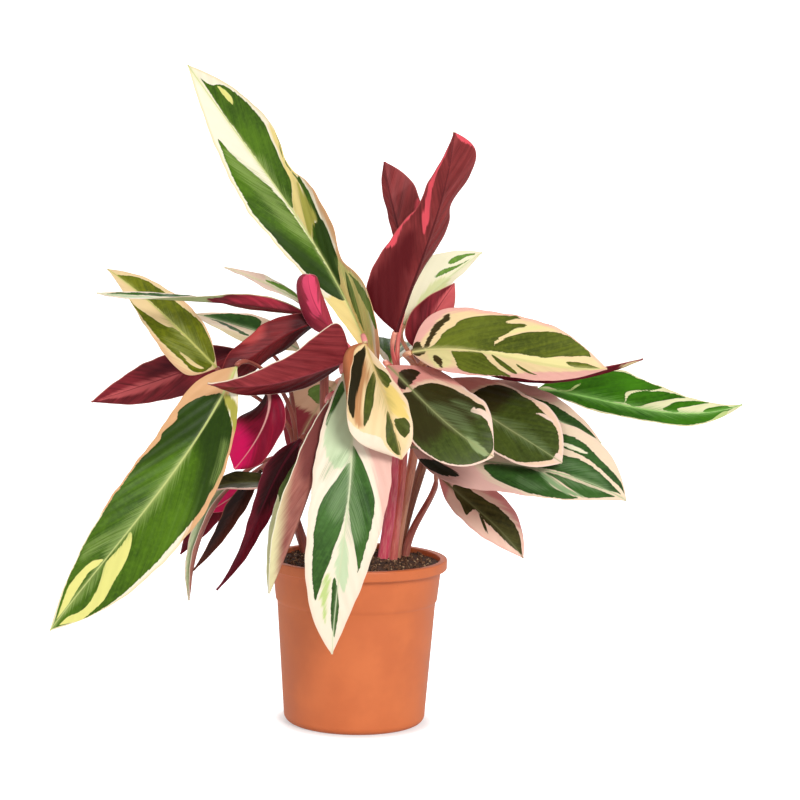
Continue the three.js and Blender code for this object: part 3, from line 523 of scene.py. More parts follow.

# rib: points of the midrib from base to tip. face: where the upper face looks, at the base and at the tip.
# wide: half widths, left and right, seen from above with the tip up.
# shape: where the blade is widest, how full its heel and how full its point. waist: dips of the margin, each
# as its place, the share of the width that it takes and its span.
# fold, curl, bend: how steeply each half leaves the midrib, how much further it turns, and how late. A pair
# is the value at the base and at the tip.
# wave: height of the margin's waves and how many.
# Areas are outlines in hundredths: of the length, and of the half width, where left is negative.
# Of the pale veil's outlines, some are the blade's milky streaks and some paint sheen, a painted highlight.
leaves = {
    "leaf_upper_left": {
        "rib": [[12, -8, 276], [-23, 6, 349], [-74, 32, 422], [-143, 62, 511]],
        "face": [[-0.3, -1, 0.2], [-0.2, -1, 0.3]], "wide": [30, 30.5],
        "shape": {"left": [0.55, 1.2, 1.5], "right": [0.62, 12, 2.5]},
        "waist": {"left": [], "right": [[0.3, 0.42, 0.06], [0.6, 0.34, 0.07]]},
        "fold": {"left": 14, "right": [50, 8]}, "curl": 6, "wave": [2, 2.5], "upper": "upper_fresh",
        "under": "under_rosy",
        "green": [
            [(78, -76), (73, -60), (69, -46), (66, -36), (61, -20), (56, -10), (50, -5), (40, -4), (30, -3),
             (21, -2), (25, -72), (34, -87), (46, -91), (58, -91), (69, -88), (75, -82)],
            [(95, 24), (92, 38), (90, 72), (88, 86), (81, 89), (76, 86), (72, 83), (68, 77), (63, 79),
             (58, 75), (54, 46), (52, 22), (50, 3), (60, 2), (75, 3), (86, 6)],
            [(55, 96), (52, 87), (47, 77), (42, 70), (35, 74), (31, 82), (29, 50), (25, 2), (33, 2), (39, 2),
             (41, 14), (43, 33), (42, 50), (46, 53), (49, 62), (54, 78)],
            [(70, 97), (65, 99), (60, 97), (55, 90), (53, 76), (56, 88), (60, 93), (65, 93)],
            [(27, 71), (24, 57), (20, 40), (14, 26), (11, 17), (15, 14), (20, 17), (24, 34)],
            [(26, 76), (22, 84), (17, 96), (10, 96), (11, 82), (16, 70), (20, 62)],
        ],
        "cream": [[(90, 61), (88, 70), (85, 67), (83, 50), (84, 46), (87, 50)]],
        "milk": [[(54, 74), (51, 68), (47, 60), (43, 53), (42, 28), (40, 3), (43, 6), (48, 32), (51, 50)]],
        "hazeAndSheen": [
            [(30, 55), (30, 85), (18, 95), (8, 60), (6, 25), (14, 12), (22, 30)],
            [(74, -70), (66, -36), (60, -17), (50, -7), (40, -8), (40, -25), (48, -42), (55, -45), (60, -52),
             (66, -66), (71, -78)],
            [(67, 4), (64, 27), (60, 20), (54, 12), (50, 4), (58, 2)],
        ],
        "gold": [
            [(72, 90), (66, 110), (58, 110), (50, 62), (43, 30), (39, 2), (43, 0), (50, 2), (53, 30),
             (56, 60), (63, 84), (68, 80)],
            [(24, -5), (24, -60), (20, -110), (0, -110), (0, 20), (10, 10)],
            [(31, 50), (33, 75), (28, 100), (10, 60), (0, 30), (0, 0), (20, 2), (26, 4)],
        ],
        "rose": [
            [(33, 120), (33, 84), (26, 86), (16, 96), (2, 60), (0, 120)],
            [(60, 120), (53, 97), (47, 86), (42, 78), (35, 82), (34, 120)],
        ],
        "shade": [
            [(10, -120), (10, 10), (26, -10), (42, -50), (50, -120)],
            [(20, 10), (40, 10), (46, 120), (20, 120)],
        ],
    },
    "leaf_lower_left": {
        "rib": [[-93, -50, 282], [-131, -84, 213], [-173, -112, 156], [-220, -135, 94]],
        "face": [[-0.15, -1, 0.35], [-0.1, -1, 0.3]], "wide": [39, 27],
        "shape": {"left": [0.48, 1.8, 2.8], "right": [0.4, 6, 2.3]}, "fold": 10, "curl": -6, "wave": [1.5, 2],
        "upper": "upper_fresh", "under": "under_rosy",
        "green": [
            [(10, 0), (11.5, 29), (14, 56), (18, 77), (21.5, 86), (23.5, 78), (25, 78), (30, 90), (33, 84),
             (38, 90), (45, 95), (54, 94), (71, 96), (79, 95), (87, 92), (95, 70), (100, 0), (98, -70),
             (92, -95), (84, -95), (76, -90), (68, -90), (60, -88), (49, -90), (39, -91), (30, -93),
             (21, -92), (17, -80), (13, -44)],
        ],
        "cream": [
            [(73.5, 5), (76, 36), (81, 56), (86, 72), (91, 62), (96, 30), (93, 10), (86, 17), (80, 22),
             (76.5, 10)],
            [(62, -4), (67, -8), (74, -6), (78, -19), (83, -39), (87, -53), (91, -55), (94, -40), (97, -60),
             (93, -97), (89, -87), (83, -72), (77, -52), (72, -42), (68, -33), (64, -18)],
        ],
        "milk": [[(10, -5), (10, -75), (14, -110), (20, -110), (19, -93), (15, -66), (12, -30)]],
        "hazeAndSheen": [
            [(30, 2), (40, 10), (50, 12), (62, 24), (70, 24), (72, 2), (60, -10), (45, -14), (36, -6)],
            [(61, 15), (67, 46), (74, 83), (77, 76), (70, 35), (64, 6)],
            [(24, -84), (30, -91), (35, -90), (36, -84), (30, -78), (24, -72)],
            [(76, 2), (86, -6), (93, -8), (92, -18), (84, -22), (77, -12)],
        ],
        "rose": [
            [(0, -30), (30, 0), (50, 50), (62, 120), (0, 120)],
            [(20, -130), (20, -80), (45, -80), (62, -130)],
        ],
        "shade": [[(5, -120), (5, 120), (46, 120), (40, 60), (28, 15), (30, -30), (44, -70), (66, -120)]],
    },
    "leaf_mid_left": {
        "rib": [[-113, 12, 275], [-145, 28, 304], [-172, 42, 326], [-205, 60, 348]],
        "face": [[-0.1, -1, 0.4], [-0.1, -1, 0.4]], "wide": [24, 19],
        "shape": {"left": [0.22, 5, 1.3], "right": [0.4, 2.2, 2]}, "fold": 12, "curl": 4, "wave": [1, 2],
        "upper": "upper_mid", "under": "under_rosy",
        "green": [
            [(92, 10), (85, 68), (76, 83), (63, 81), (50, 76), (39, 80), (28, 90), (18, 89), (5, 90), (5, 10),
             (16, 3), (38, 3), (65, 3), (88, 2)],
            [(74, -94), (66, -85), (54, -52), (42, -27), (37, -8), (17, -3), (4, 0), (3, -72), (5, -80),
             (15, -68), (26, -74), (40, -84), (56, -89), (68, -97)],
        ],
        "cream": [[(25, -54), (16, -44), (6, -42), (6, -52), (15, -57)]],
        "hazeAndSheen": [
            [(50, 4), (40, 20), (20, 25), (8, 10), (8, -10), (25, -20), (40, -18)],
            [(36, -62), (28, -42), (16, -30), (14, -40), (26, -60)],
        ],
        "rose": [
            [(50, -130), (42, -90), (20, -86), (0, -84), (0, -130)],
            [(60, 120), (45, 90), (30, 97), (5, 97), (0, 120)],
        ],
    },
    "leaf_left_edge_on": {
        "rib": [[-40, 8, 318], [-92, 0, 327], [-150, -8, 330], [-204, -12, 333]],
        "face": [[0, 1.1, 0.5], [0, -0.8, 1]], "wide": [10, 9], "shape": [0.42, 2.4, 3], "fold": 10,
        "curl": 6, "wave": [1, 2], "upper": "upper_grey", "under": "under_tipped",
        "milk": [[(50, -90), (70, -70), (95, -50), (95, 10), (70, 10), (50, 0)]],
        "green": [[(44, 10), (60, 25), (75, 30), (95, 20), (90, 70), (70, 85), (44, 95)]],
        "streak": [[(42, -120), (50, -40), (46, 30), (56, 120), (110, 120), (110, -120)]],
        "shade": [[(12, -50), (28, -35), (38, -30), (34, -60), (16, -75)]],
    },
    "leaf_left_thin": {
        "rib": [[-47, 35, 326], [-70, 42, 337], [-90, 48, 345], [-111, 52, 352]],
        "face": [[0, -0.45, 0.9], [0, -0.4, 0.9]], "wide": [8, 7.5], "fold": 10, "curl": 6, "wave": [0.8, 2],
        "upper": "upper_lime", "under": "under_rosy",
        "rose": [[(30, -120), (110, -120), (110, 120), (60, 120), (50, 20), (34, -20)]],
        "green": [[(52, 30), (44, 62), (30, 86), (8, 80), (10, 35), (30, 25)]],
    },
    "leaf_left_inner": {
        "rib": [[-48, 22, 289], [-79, 30, 302], [-106, 36, 309], [-133, 42, 315]],
        "face": [[0, -0.5, 0.85], [0, -0.5, 0.85]], "wide": [26, 14], "fold": 12, "curl": 6, "wave": [1, 2],
        "upper": "upper_shade", "under": "under_rosy",
        "green": [
            [(92, 10), (88, 60), (75, 88), (60, 90), (45, 80), (42, 30), (45, -3), (70, -5), (85, -3)],
            [(88, -12), (76, -30), (64, -45), (50, -55), (45, -45), (60, -28), (72, -14)],
        ],
        "gold": [[(90, -120), (70, -70), (40, -60), (10, -50), (0, -120)]],
    },
    "leaf_left_back": {
        "rib": [[-98, 55, 286], [-139, 68, 269], [-180, 80, 253], [-221, 90, 238]],
        "face": [[0, 0.9, 0.35], [0, 0.9, 0.35]], "wide": [18, 24], "fold": 8, "curl": 8, "wave": [1, 2],
        "upper": "upper_fresh", "under": "under_maroon",
        "streak": [[(40, 2), (60, 28), (84, 34), (96, 6), (85, -16), (65, -14)]],
        "shade": [[(0, -90), (40, -80), (60, -40), (40, -10), (0, -10)]],
    },
    "leaf_left_curled": {
        "rib": [[-30, -2, 315], [-59, -16, 304], [-84, -30, 287], [-106, -40, 274]],
        "face": [[0, 0.9, 0.4], [0, 0.9, 0.4]], "wide": [15, 21], "shape": [0.5, 3, 4], "fold": 12,
        "curl": 45, "wave": [1.5, 2], "upper": "upper_shade", "under": "under_brick",
        "streak": [[(44, -120), (50, -70), (58, -50), (66, -62), (68, -120)]],
        "shade": [[(0, -120), (20, -100), (30, -10), (40, 30), (62, 70), (90, 80), (90, 120), (0, 120)]],
    },
    "leaf_left_fold": {
        "rib": [[-8, -22, 288], [-45, -48, 276], [-78, -68, 270], [-112, -82, 272]],
        "face": [[0, 0.8, 0.6], [0, 0.8, 0.6]], "wide": [36, 22],
        "shape": {"left": [0.15, 3, 0.95], "right": [0.35, 3, 1.8]}, "fold": 12, "curl": 4, "wave": [1, 2],
        "upper": "upper_shade", "under": "under_fold",
        "shade": [[(0, 25), (30, 30), (60, 45), (70, 120), (0, 120)]],
    },
    "leaf_young_curl": {
        "rib": [[-19, -14, 305], [-32, -21, 322], [-39, -26, 338], [-41, -31, 352]],
        "face": [[0, 1, 0], [0, 1, 0]], "wide": [12, 17],
        "shape": {"left": [0.6, 2, 6], "right": [0.5, 3, 6]}, "fold": 10,
        "curl": {"left": 80, "right": [35, 90]}, "wave": [0, 1], "upper": "upper_shade", "under": "under_hot",
        "streak": [[(36, 10), (60, -30), (110, -60), (110, 35), (70, 25), (45, 35)]],
        "shade": [[(30, 45), (62, 35), (86, 50), (90, 120), (30, 120)]],
    },
    "leaf_upright_tall": {
        "rib": [[26, -8, 308], [43, -20, 360], [59, -42, 412], [67, -62, 461]],
        "face": [[-0.35, 0.9, 0.1], [-0.1, 0.95, 0.1]], "wide": [23, 33],
        "shape": {"left": [0.85, 2.3, 2.4], "right": [0.22, 3, 1.2]},
        "waist": {"left": [[0.63, 0.36, 0.08]], "right": [[0.6, 0.15, 0.08]]},
        "fold": {"left": [60, 14], "right": [5, 36]}, "curl": 12, "wave": [1.5, 2], "upper": "upper_fresh",
        "under": "under_wine",
        "streak": [
            [(100, 90), (90, 98), (80, 96), (70, 88), (60, 66), (51, 34), (48, 20), (55, 17), (62, 38),
             (69, 58), (76, 70), (84, 78), (92, 70)],
            [(62, 120), (56, 94), (48, 93), (42, 84), (37, 86), (35, 120)],
            [(92, -120), (94, -80), (97, -40), (110, 0), (110, -120)],
        ],
        "shade": [[(0, 10), (30, 20), (48, 40), (44, 70), (30, 80), (10, 120), (0, 120)]],
    },
    "leaf_upright_short": {
        "rib": [[33, 6, 362], [26, 10, 392], [20, 16, 414], [15, 20, 438]],
        "face": [[0.3, 0.9, 0], [0.3, 0.9, 0]], "wide": [21, 8], "shape": [0.5, 2.4, 3], "fold": 15,
        "curl": 10, "wave": [1, 2], "upper": "upper_fresh", "under": "under_wine",
        "streak": [[(10, -120), (50, -120), (56, -88), (30, -66)]],
    },
    "leaf_right_cream": {
        "rib": [[33, 14, 312], [52, 20, 335], [72, 26, 353], [93, 30, 369]],
        "face": [[0.1, -1, 0.4], [0.1, -1, 0.4]], "wide": [24, 7], "fold": 14, "curl": 6, "wave": [1, 2],
        "upper": "upper_lime", "under": "under_rosy",
        "green": [
            [(68, -44), (77, -64), (92, -60), (93, -34), (86, -42), (77, -34)],
            [(50, -30), (60, -36), (74, -20), (88, -12), (74, -10), (60, -20)],
        ],
        "milk": [[(20, -10), (43, -21), (58, -8), (60, 40), (40, 70), (15, 50)]],
    },
    "leaf_right_short": {
        "rib": [[50, -2, 292], [50, -4, 308], [58, -4, 326], [71, -4, 346]],
        "face": [[0, 1, 0.2], [0, 1, 0.2]], "wide": [15, 17],
        "shape": {"left": [0.55, 2, 1.6], "right": [0.3, 3, 1.6]}, "fold": 10, "curl": 10, "wave": [1, 2],
        "upper": "upper_fresh", "under": "under_maroon",
        "streak": [[(20, -120), (35, -45), (50, 0), (110, 30), (110, -120)]],
    },
    "leaf_right_broad": {
        "rib": [[39, -22, 293], [91, -38, 296], [140, -50, 289], [186, -58, 287]],
        "face": [[0.05, -0.8, 0.6], [0.05, -0.8, 0.6]], "wide": [33, 29],
        "shape": {"left": [0.4, 6, 3.2], "right": [0.35, 3, 2]}, "fold": 20, "curl": 0, "wave": [1.5, 2],
        "upper": "upper_broad", "under": "under_rosy",
        "green": [
            [(8, 0), (12, -12), (16, -39), (21, -56), (23, -68), (29, -80), (37, -90), (44, -95), (53, -97),
             (49, -90), (45, -81), (47, -78), (55, -84), (55, -78), (50, -68), (46, -49), (42, -29),
             (40, -5)],
            [(40, -6), (54, -10), (66, -14), (71, -20), (82, -38), (91, -68), (91, -90), (88, -95), (80, -95),
             (72, -88), (65, -78), (56, -66), (50, -52), (45, -35), (42, -19)],
            [(79, -14), (84, -22), (92, -24), (97, -5), (91, -1), (84, -1)],
            [(21, 10), (24, 8), (33, 3), (37, 4), (42, 33), (49, 68), (56, 96), (52, 100), (40, 95), (32, 90),
             (28, 76), (26, 55)],
            [(42, 3), (48, 24), (54, 50), (58, 74), (56, 78), (48, 41), (44, 20)],
            [(56, 28), (64, 59), (68, 73), (63, 65), (57, 40)],
        ],
        "dark": [
            [(6, -10), (8.5, -36), (11, -61), (15, -76), (18, -86), (18.5, -74), (14.5, -53), (11, -30),
             (9, -10)],
            [(13, 35), (17, 49), (20, 86), (18, 86), (14, 65)],
            [(0, -90), (5, -30), (7, 30), (0, 90)],
        ],
        "gold": [
            [(10, 10), (12, 70), (20, 100), (23, 50), (20, 5)],
            [(40, -10), (70, -20), (95, -14), (97, 14), (70, 14), (40, 4)],
            [(40, -25), (46, -50), (56, -72), (70, -90), (60, -85), (46, -65)],
        ],
        "rose": [
            [(0, -40), (8, -50), (16, -86), (30, -93), (50, -100), (70, -100), (100, -120), (50, -130),
             (0, -120)],
            [(20, 130), (24, 80), (40, 80), (55, 82), (66, 55), (80, 40), (100, 30), (100, 130)],
        ],
    },
    "leaf_right_edge_on": {
        "rib": [[85, 0, 282], [139, -6, 272], [185, -8, 279], [218, -6, 291]],
        "face": [[0, 0.45, 0.9], [0, 0.45, 0.9]], "wide": [12, 12], "fold": 10, "curl": 10, "wave": [0.5, 2],
        "upper": "upper_shade", "under": "under_plum",
        "streak": [[(86, -100), (90, 100), (110, 100), (110, -100)]],
    },
    "leaf_far_right": {
        "rib": [[139, 23, 263], [192, 3, 256], [240, -14, 250], [293, -28, 259]],
        "face": [[0, -0.7, 0.7], [0, -0.7, 0.7]], "wide": [30, 15],
        "shape": {"left": [0.38, 2.4, 1.2], "right": [0.7, 4, 2]}, "fold": 12, "curl": 0, "wave": [1, 2],
        "upper": "upper_vivid", "under": "under_rosy",
        "green": [
            [(1, -85), (20, -93), (40, -95), (52, -97), (59, -94), (52, -70), (42, -40), (43, -8), (30, -3),
             (10, -5)],
            [(45, -40), (56, -74), (63, -87), (73, -93), (64, -57), (55, -25), (50, -5), (44, -8)],
            [(62, -10), (64, -30), (68, -56), (75, -79), (85, -95), (76, -50), (69, -22), (70, -5)],
            [(2, 85), (20, 90), (50, 92), (70, 92), (84, 90), (90, 55), (95, 10), (70, 4), (40, 3), (10, 3)],
            [(82, -6), (84, -40), (92, -70), (95, -35), (98, -10), (90, -3)],
        ],
        "cream": [
            [(10, -5), (15, -14), (18, -36), (20, -41), (17, -14), (13, -2)],
            [(86, 95), (88, 60), (91, 30), (93, 40), (92, 95)],
        ],
        "hazeAndSheen": [[(10, 2), (40, 30), (70, 30), (90, 10), (70, -10), (40, -12), (15, -10)]],
    },
    "leaf_right_front": {
        "rib": [[21, -24, 283], [46, -60, 262], [74, -87, 240], [101, -94, 223]],
        "face": [[0.1, -0.7, 0.7], [0.25, -1, 0.3]], "wide": [33, 31], "shape": [0.5, 3, 4], "fold": 6,
        "curl": -8, "wave": [1.5, 2], "upper": "upper_olive", "under": "under_rosy",
        "green": [
            [(30, 30), (31, 10), (29, -12), (30, -41), (35, -64), (45, -79), (58, -85), (68, -86), (76, -92),
             (86, -80), (93, -90), (97, -90), (98, -32), (97, 59), (92, 88), (86, 94), (77, 96), (60, 96),
             (45, 94), (34, 80)],
        ],
        "dark": [[(11, -14), (11, -58), (18, -62), (22, -33), (26, 6), (27, 19), (20, 25)]],
        "shade": [
            [(26, -30), (30, -80), (50, -90), (74, -88), (78, -40), (70, 20), (66, 90), (40, 90), (28, 80)],
        ],
        "cream": [
            [(69, -62), (69, -75), (71, -72), (73, -80), (80, -91), (87, -97), (92, -100), (90, -88),
             (86, -83), (78, -72), (71, -61)],
        ],
        "milk": [[(80, -6), (90, -10), (97, -5), (97, 30), (92, 25), (86, 12)]],
        "hazeAndSheen": [
            [(50, 3), (60, -5), (84, -10), (80, -30), (66, -40), (55, -30), (46, -10)],
            [(55, -50), (70, -55), (78, -65), (70, -68), (58, -62)],
        ],
        "rose": [[(0, -120), (0, 120), (25, 120), (30, 60), (26, 0), (29, -60), (40, -86), (50, -120)]],
    },
    "leaf_right_middle": {
        "rib": [[60, -12, 272], [94, -37, 250], [127, -61, 232], [153, -74, 217]],
        "face": [[0.1, -0.8, 0.6], [0.2, -1, 0.3]], "wide": [32, 23], "shape": [0.55, 3, 3.5], "fold": 6,
        "curl": -6, "wave": [1.5, 2], "upper": "upper_olive", "under": "under_rosy",
        "green": [
            [(24, 0), (25, -55), (30, -84), (38, -94), (50, -93), (60, -90), (70, -82), (82, -80), (89, -76),
             (94, -50), (95, 0), (93, 40), (88, 66), (80, 88), (68, 95), (50, 95), (34, 80)],
        ],
        "cream": [
            [(67, -68), (71, -78), (77, -83), (84, -86), (81, -82), (75, -74)],
            [(94, -30), (100, -66), (100, 30), (95, 30)],
        ],
        "shade": [[(20, -40), (27, -90), (42, -90), (46, -40), (42, 20), (34, 80), (22, 70)]],
        "hazeAndSheen": [[(42, 3), (55, 12), (70, 14), (86, 10), (94, 0), (86, -16), (70, -22), (55, -16)]],
        "rose": [[(0, -130), (0, 100), (20, 100), (22, 0), (22, -50), (28, -86), (40, -130)]],
    },
    "leaf_lower_right": {
        "rib": [[41, -10, 219], [93, -40, 213], [148, -68, 209], [201, -84, 191]],
        "face": [[0, -0.75, 0.65], [0, -0.9, 0.45]], "wide": [38, 29],
        "shape": {"left": [0.62, 2, 2.6], "right": [0.45, 3, 2.4]}, "fold": 12, "curl": 0, "wave": [1.5, 2],
        "upper": "upper_shade", "under": "under_rosy",
        "green": [
            [(66, -80), (73, -79), (78, -74), (85, -66), (91, -71), (96, -84), (98, -69), (92, -46),
             (86, -46), (81, -49), (75, -51), (69, -52), (50, -60), (50, -80)],
            [(70, -38), (75, -41), (82, -39), (87, -36), (93, -30), (97, -25), (90, 5), (80, 4), (72, -4),
             (50, -5), (50, -40)],
            [(36, 15), (45, 2), (55, 2), (65, 18), (67, 40), (71, 60), (78, 76), (82, 91), (77, 96), (69, 95),
             (59, 86), (50, 71), (43, 53)],
            [(64, 5), (77, 14), (85, 22), (95, 30), (93, 66), (87, 88), (83, 76), (76, 48), (70, 25)],
        ],
        "cream": [[(66, -62), (74, -63), (79, -62), (76, -56), (70, -55)]],
        "milk": [[(61, 5), (67, 21), (72, 40), (79, 59), (84, 84), (77, 74), (71, 57), (66, 34)]],
        "hazeAndSheen": [
            [(54, 40), (60, 49), (67, 66), (62, 74), (56, 60)],
            [(56, 2), (70, 10), (90, 20), (86, 34), (74, 30), (64, 16)],
            [(66, -12), (80, -16), (90, -14), (86, -26), (74, -30), (66, -26)],
        ],
        "dark": [[(7, 89), (13, 41), (19, 45), (26, 58), (28, 70), (22, 84), (15, 93), (9, 99)]],
        "rose": [
            [(0, -20), (25, -5), (34, 30), (44, 70), (60, 97), (60, 120), (0, 120)],
            [(20, -120), (50, -85), (62, -90), (62, -120)],
        ],
    },
    "leaf_right_under": {
        "rib": [[71, 10, 261], [108, 1, 252], [150, -14, 243], [186, -28, 227]],
        "face": [[0.1, -0.85, 0.5], [0.2, -0.9, 0.5]], "wide": [22, 22], "shape": [0.42, 2.4, 1.6], "fold": 8,
        "curl": 0, "wave": [1, 2], "upper": "upper_shade", "under": "under_rosy",
        "green": [
            [(10, -45), (40, -58), (58, -62), (75, -60), (88, -60), (96, -40), (90, 10), (74, 0), (62, -9),
             (30, -13), (10, -20)],
            [(10, 20), (50, 30), (90, 20), (80, 80), (30, 85)],
        ],
        "rose": [[(10, -120), (40, -66), (60, -70), (60, -120)]],
    },
    "leaf_low_right": {
        "rib": [[62, 4, 196], [87, -14, 176], [110, -30, 158], [128, -38, 138]],
        "face": [[-0.1, -1, 0.3], [-0.1, -1, 0.3]], "wide": [21, 14.5], "shape": [0.5, 2.4, 2.2], "fold": 8,
        "curl": 0, "wave": [1, 2], "upper": "upper_night", "under": "under_rosy",
        "green": [
            [(16, -10), (20, -36), (26, -46), (35, -44), (51, -52), (66, -61), (77, -70), (89, -70),
             (97, -38), (94, 6), (87, 30), (70, 24), (57, 19), (47, 6), (43, 12), (42, 60), (32, 34),
             (24, 26)],
            [(46, -2), (58, 29), (67, 66), (64, 64), (53, 27)],
        ],
        "hazeAndSheen": [[(75, -20), (88, -30), (93, 0), (85, 20), (76, 10)]],
        "rose": [
            [(0, -120), (0, 120), (20, 120), (16, 40), (14, -40), (30, -60), (60, -74), (80, -90),
             (70, -120)],
        ],
    },
    "leaf_center_curled": {
        "rib": [[4, -54, 302], [15, -82, 276], [26, -104, 248], [33, -107, 221]],
        "face": [[0, -0.6, 0.8], [0, -1, -0.2]], "wide": [14.5, 37.5],
        "shape": {"left": [0.6, 1.2, 4], "right": [0.35, 4, 4]}, "fold": 4,
        "curl": {"left": [10, -10], "right": [320, -60]}, "bend": {"left": 1, "right": 3}, "wave": [0.5, 2],
        "upper": "upper_gold", "under": "under_amber",
        "green": [
            [(28, 4), (33, 14), (43, 31), (55, 45), (64, 55), (71, 62), (67, 49), (58, 30), (48, 18), (38, 6),
             (31, 3)],
            [(20, -4), (26, -45), (30, -72), (35, -88), (40, -86), (43, -61), (45, -35), (41, -20),
             (35, -10)],
            [(63, 4), (73, 1), (79, 2), (86, -2), (92, -10), (96, -5), (97, 20), (95, 38), (86, 34), (79, 23),
             (72, 14)],
            [(72, -8), (72, -35), (73, -65), (78, -82), (84, -74), (86, -50), (84, -26), (80, -12)],
        ],
        "dark": [
            [(2, 10), (8, 30), (20, 62), (31, 96), (40, 95), (50, 93), (56, 86), (65, 79), (58, 66), (51, 58),
             (42, 46), (31, 30), (20, 18), (9, 7)],
        ],
        "cream": [[(66, 95), (75, 72), (82, 42), (90, 50), (100, 60), (100, 130), (70, 130)]],
        "gold": [[(44, -24), (44, -70), (53, -78), (63, -81), (73, -88), (71, -42), (66, -11), (57, 1)]],
        "hazeAndSheen": [[(20, 2), (40, 5), (60, 10), (66, 3), (60, -20), (45, -20), (30, -8)]],
        "rose": [
            [(8, 12), (20, 27), (31, 42), (42, 58), (55, 72), (68, 80), (70, 64), (55, 50), (43, 36),
             (30, 14)],
        ],
    },
    "leaf_center_drooping": {
        "rib": [[-13, -50, 279], [-4, -90, 232], [-9, -114, 154], [-15, -122, 78]],
        "face": [[0, -1, 0.4], [0, -1, 0]], "wide": [30, 28],
        "shape": {"left": [0.4, 3, 1.7], "right": [0.48, 2.4, 3.2]}, "fold": 6, "curl": -4, "wave": [1, 2],
        "upper": "upper_grey", "under": "under_rosy",
        "green": [
            [(29, 0), (45, -59), (53, -71), (62, -70), (70, -70), (72, -66), (70, -60), (64, -38), (58, -17),
             (50, -2), (41, -2)],
            [(36, 3), (44, 44), (51, 71), (59, 80), (67, 80), (77, 79), (83, 74), (74, 44), (66, 24),
             (58, 10), (50, 3)],
            [(74, 15), (81, -10), (86, -24), (94, -24), (91, 11), (83, 18)],
            [(4, 30), (6, 80), (14, 90), (23, 85), (20, 50), (12, 20)],
        ],
        "milk": [
            [(60, 4), (66, -20), (73, -34), (79, -30), (75, 3), (72, 14), (66, 12)],
            [(8, 12), (18, 80), (30, 80), (38, 45), (35, 5), (20, -2)],
        ],
        "gold": [[(74, 40), (81, 54), (90, 44), (76, 25)]],
        "hazeAndSheen": [
            [(34, 3), (42, 30), (50, 50), (56, 30), (50, 3)],
            [(40, -3), (50, -30), (60, -50), (62, -30), (54, -3)],
            [(32, 14), (36, 50), (42, 70), (36, 41)],
        ],
        "rose": [[(0, -120), (60, -120), (50, -85), (36, -50), (25, -25), (0, -20)]],
    },
    "leaf_front_folded": {
        "rib": [[-24, -54, 257], [-28, -86, 224], [-42, -104, 176], [-63, -110, 120]],
        "face": [[-0.95, -0.25, 0], [-0.95, -0.25, 0]], "wide": [24, 22], "shape": [0.55, 1.6, 2], "fold": 50,
        "curl": 10, "wave": [1, 2], "upper": "upper_leek", "under": "under_fade",
        "green": [
            [(0, -20), (0, 120), (45, 120), (60, 75), (72, 30), (70, 0), (40, -5)],
            [(0, -10), (0, -84), (40, -88), (60, -92), (80, -95), (86, -99), (80, -20), (50, -5)],
        ],
        "shade": [[(0, -120), (25, -120), (45, -60), (40, 0), (0, 0)]],
        "streak": [[(50, -120), (66, -75), (80, -50), (90, 0), (90, 120), (110, 120), (110, -120)]],
    },
    "leaf_magenta_hanging": {
        "rib": [[-71, -18, 264], [-70, -34, 244], [-80, -42, 222], [-94, -44, 203]],
        "face": [[0.1, 1, 0.2], [0.1, 1, 0.1]], "wide": [24, 17], "shape": [0.5, 2.4, 4], "fold": 22,
        "curl": 20, "wave": [1, 2], "upper": "upper_shade", "under": "under_crimson",
        "shade": [[(0, -120), (40, -120), (46, -85), (44, -40), (34, -12), (0, -10)]],
        "streak": [[(60, -120), (110, -120), (110, 60), (92, 50), (82, 20), (70, -5), (62, -30)]],
    },
    "leaf_low_maroon": {
        "rib": [[-46, 2, 221], [-64, -6, 192], [-82, -10, 149], [-109, -10, 103]],
        "face": [[0.2, 1, 0.2], [0.2, 1, 0.2]], "wide": [14, 12],
        "shape": {"left": [0.25, 2, 0.8], "right": [0.25, 2, 1.2]}, "fold": 20, "curl": 10, "wave": [0.6, 2],
        "upper": "upper_shade", "under": "under_plum",
        "shade": [[(0, -60), (40, -60), (50, 0), (30, 90), (0, 90)]],
    },
    "leaf_low_dark": {
        "rib": [[-77, 22, 194], [-94, 22, 167], [-111, 20, 138], [-130, 18, 113]],
        "face": [[0.2, 1, 0.2], [0.2, 1, 0.2]], "wide": [9, 6.5], "shape": [0.4, 2, 1.3], "fold": 15,
        "curl": 10, "wave": [0.6, 2], "upper": "upper_shade", "under": "under_night",
        "shade": [[(0, -120), (70, -120), (80, -20), (40, 20), (0, 30)]],
    },
    "leaf_low_thin": {
        "rib": [[-97, 38, 185], [-117, 40, 158], [-130, 40, 122], [-135, 38, 85]],
        "face": [[-0.5, -0.8, 0.2], [-0.5, -0.8, 0.2]], "wide": [11, 11], "fold": 70, "curl": 5,
        "wave": [0.5, 2], "upper": "upper_grey", "under": "under_fade",
        "green": [[(5, -50), (50, -60), (80, -30), (50, 0), (5, 10)]],
        "milk": [[(10, 10), (50, 10), (90, 0), (90, 80), (10, 80)]],
    },
    "leaf_low_magenta": {
        "rib": [[-91, 48, 175], [-102, 52, 168], [-112, 54, 161], [-123, 56, 154]],
        "face": [[0, 1, 0.2], [0, 1, 0.2]], "wide": [10, 10], "fold": 15, "curl": 10, "wave": [0.5, 2],
        "upper": "upper_shade", "under": "under_crimson",
        "streak": [[(5, -120), (100, -120), (100, 120), (5, 120)]],
    },
    "leaf_low_left": {
        "rib": [[-97, 62, 178], [-117, 66, 158], [-132, 68, 137], [-145, 70, 117]],
        "face": [[0, 1, 0.2], [0, 1, 0.2]], "wide": [11, 11], "fold": 12, "curl": 8, "wave": [0.5, 2],
        "upper": "upper_shade", "under": "under_plum",
    },
    "leaf_low_band": {
        "rib": [[-65, 14, 187], [-84, 9, 186], [-102, 5, 185], [-120, 3, 178]],
        "face": [[0, -0.5, 0.85], [0, -0.5, 0.85]], "wide": [13, 11], "fold": 10, "curl": 6, "wave": [0.5, 2],
        "upper": "upper_night", "under": "under_rosy",
        "green": [[(0, -60), (95, -60), (95, 85), (0, 85)]],
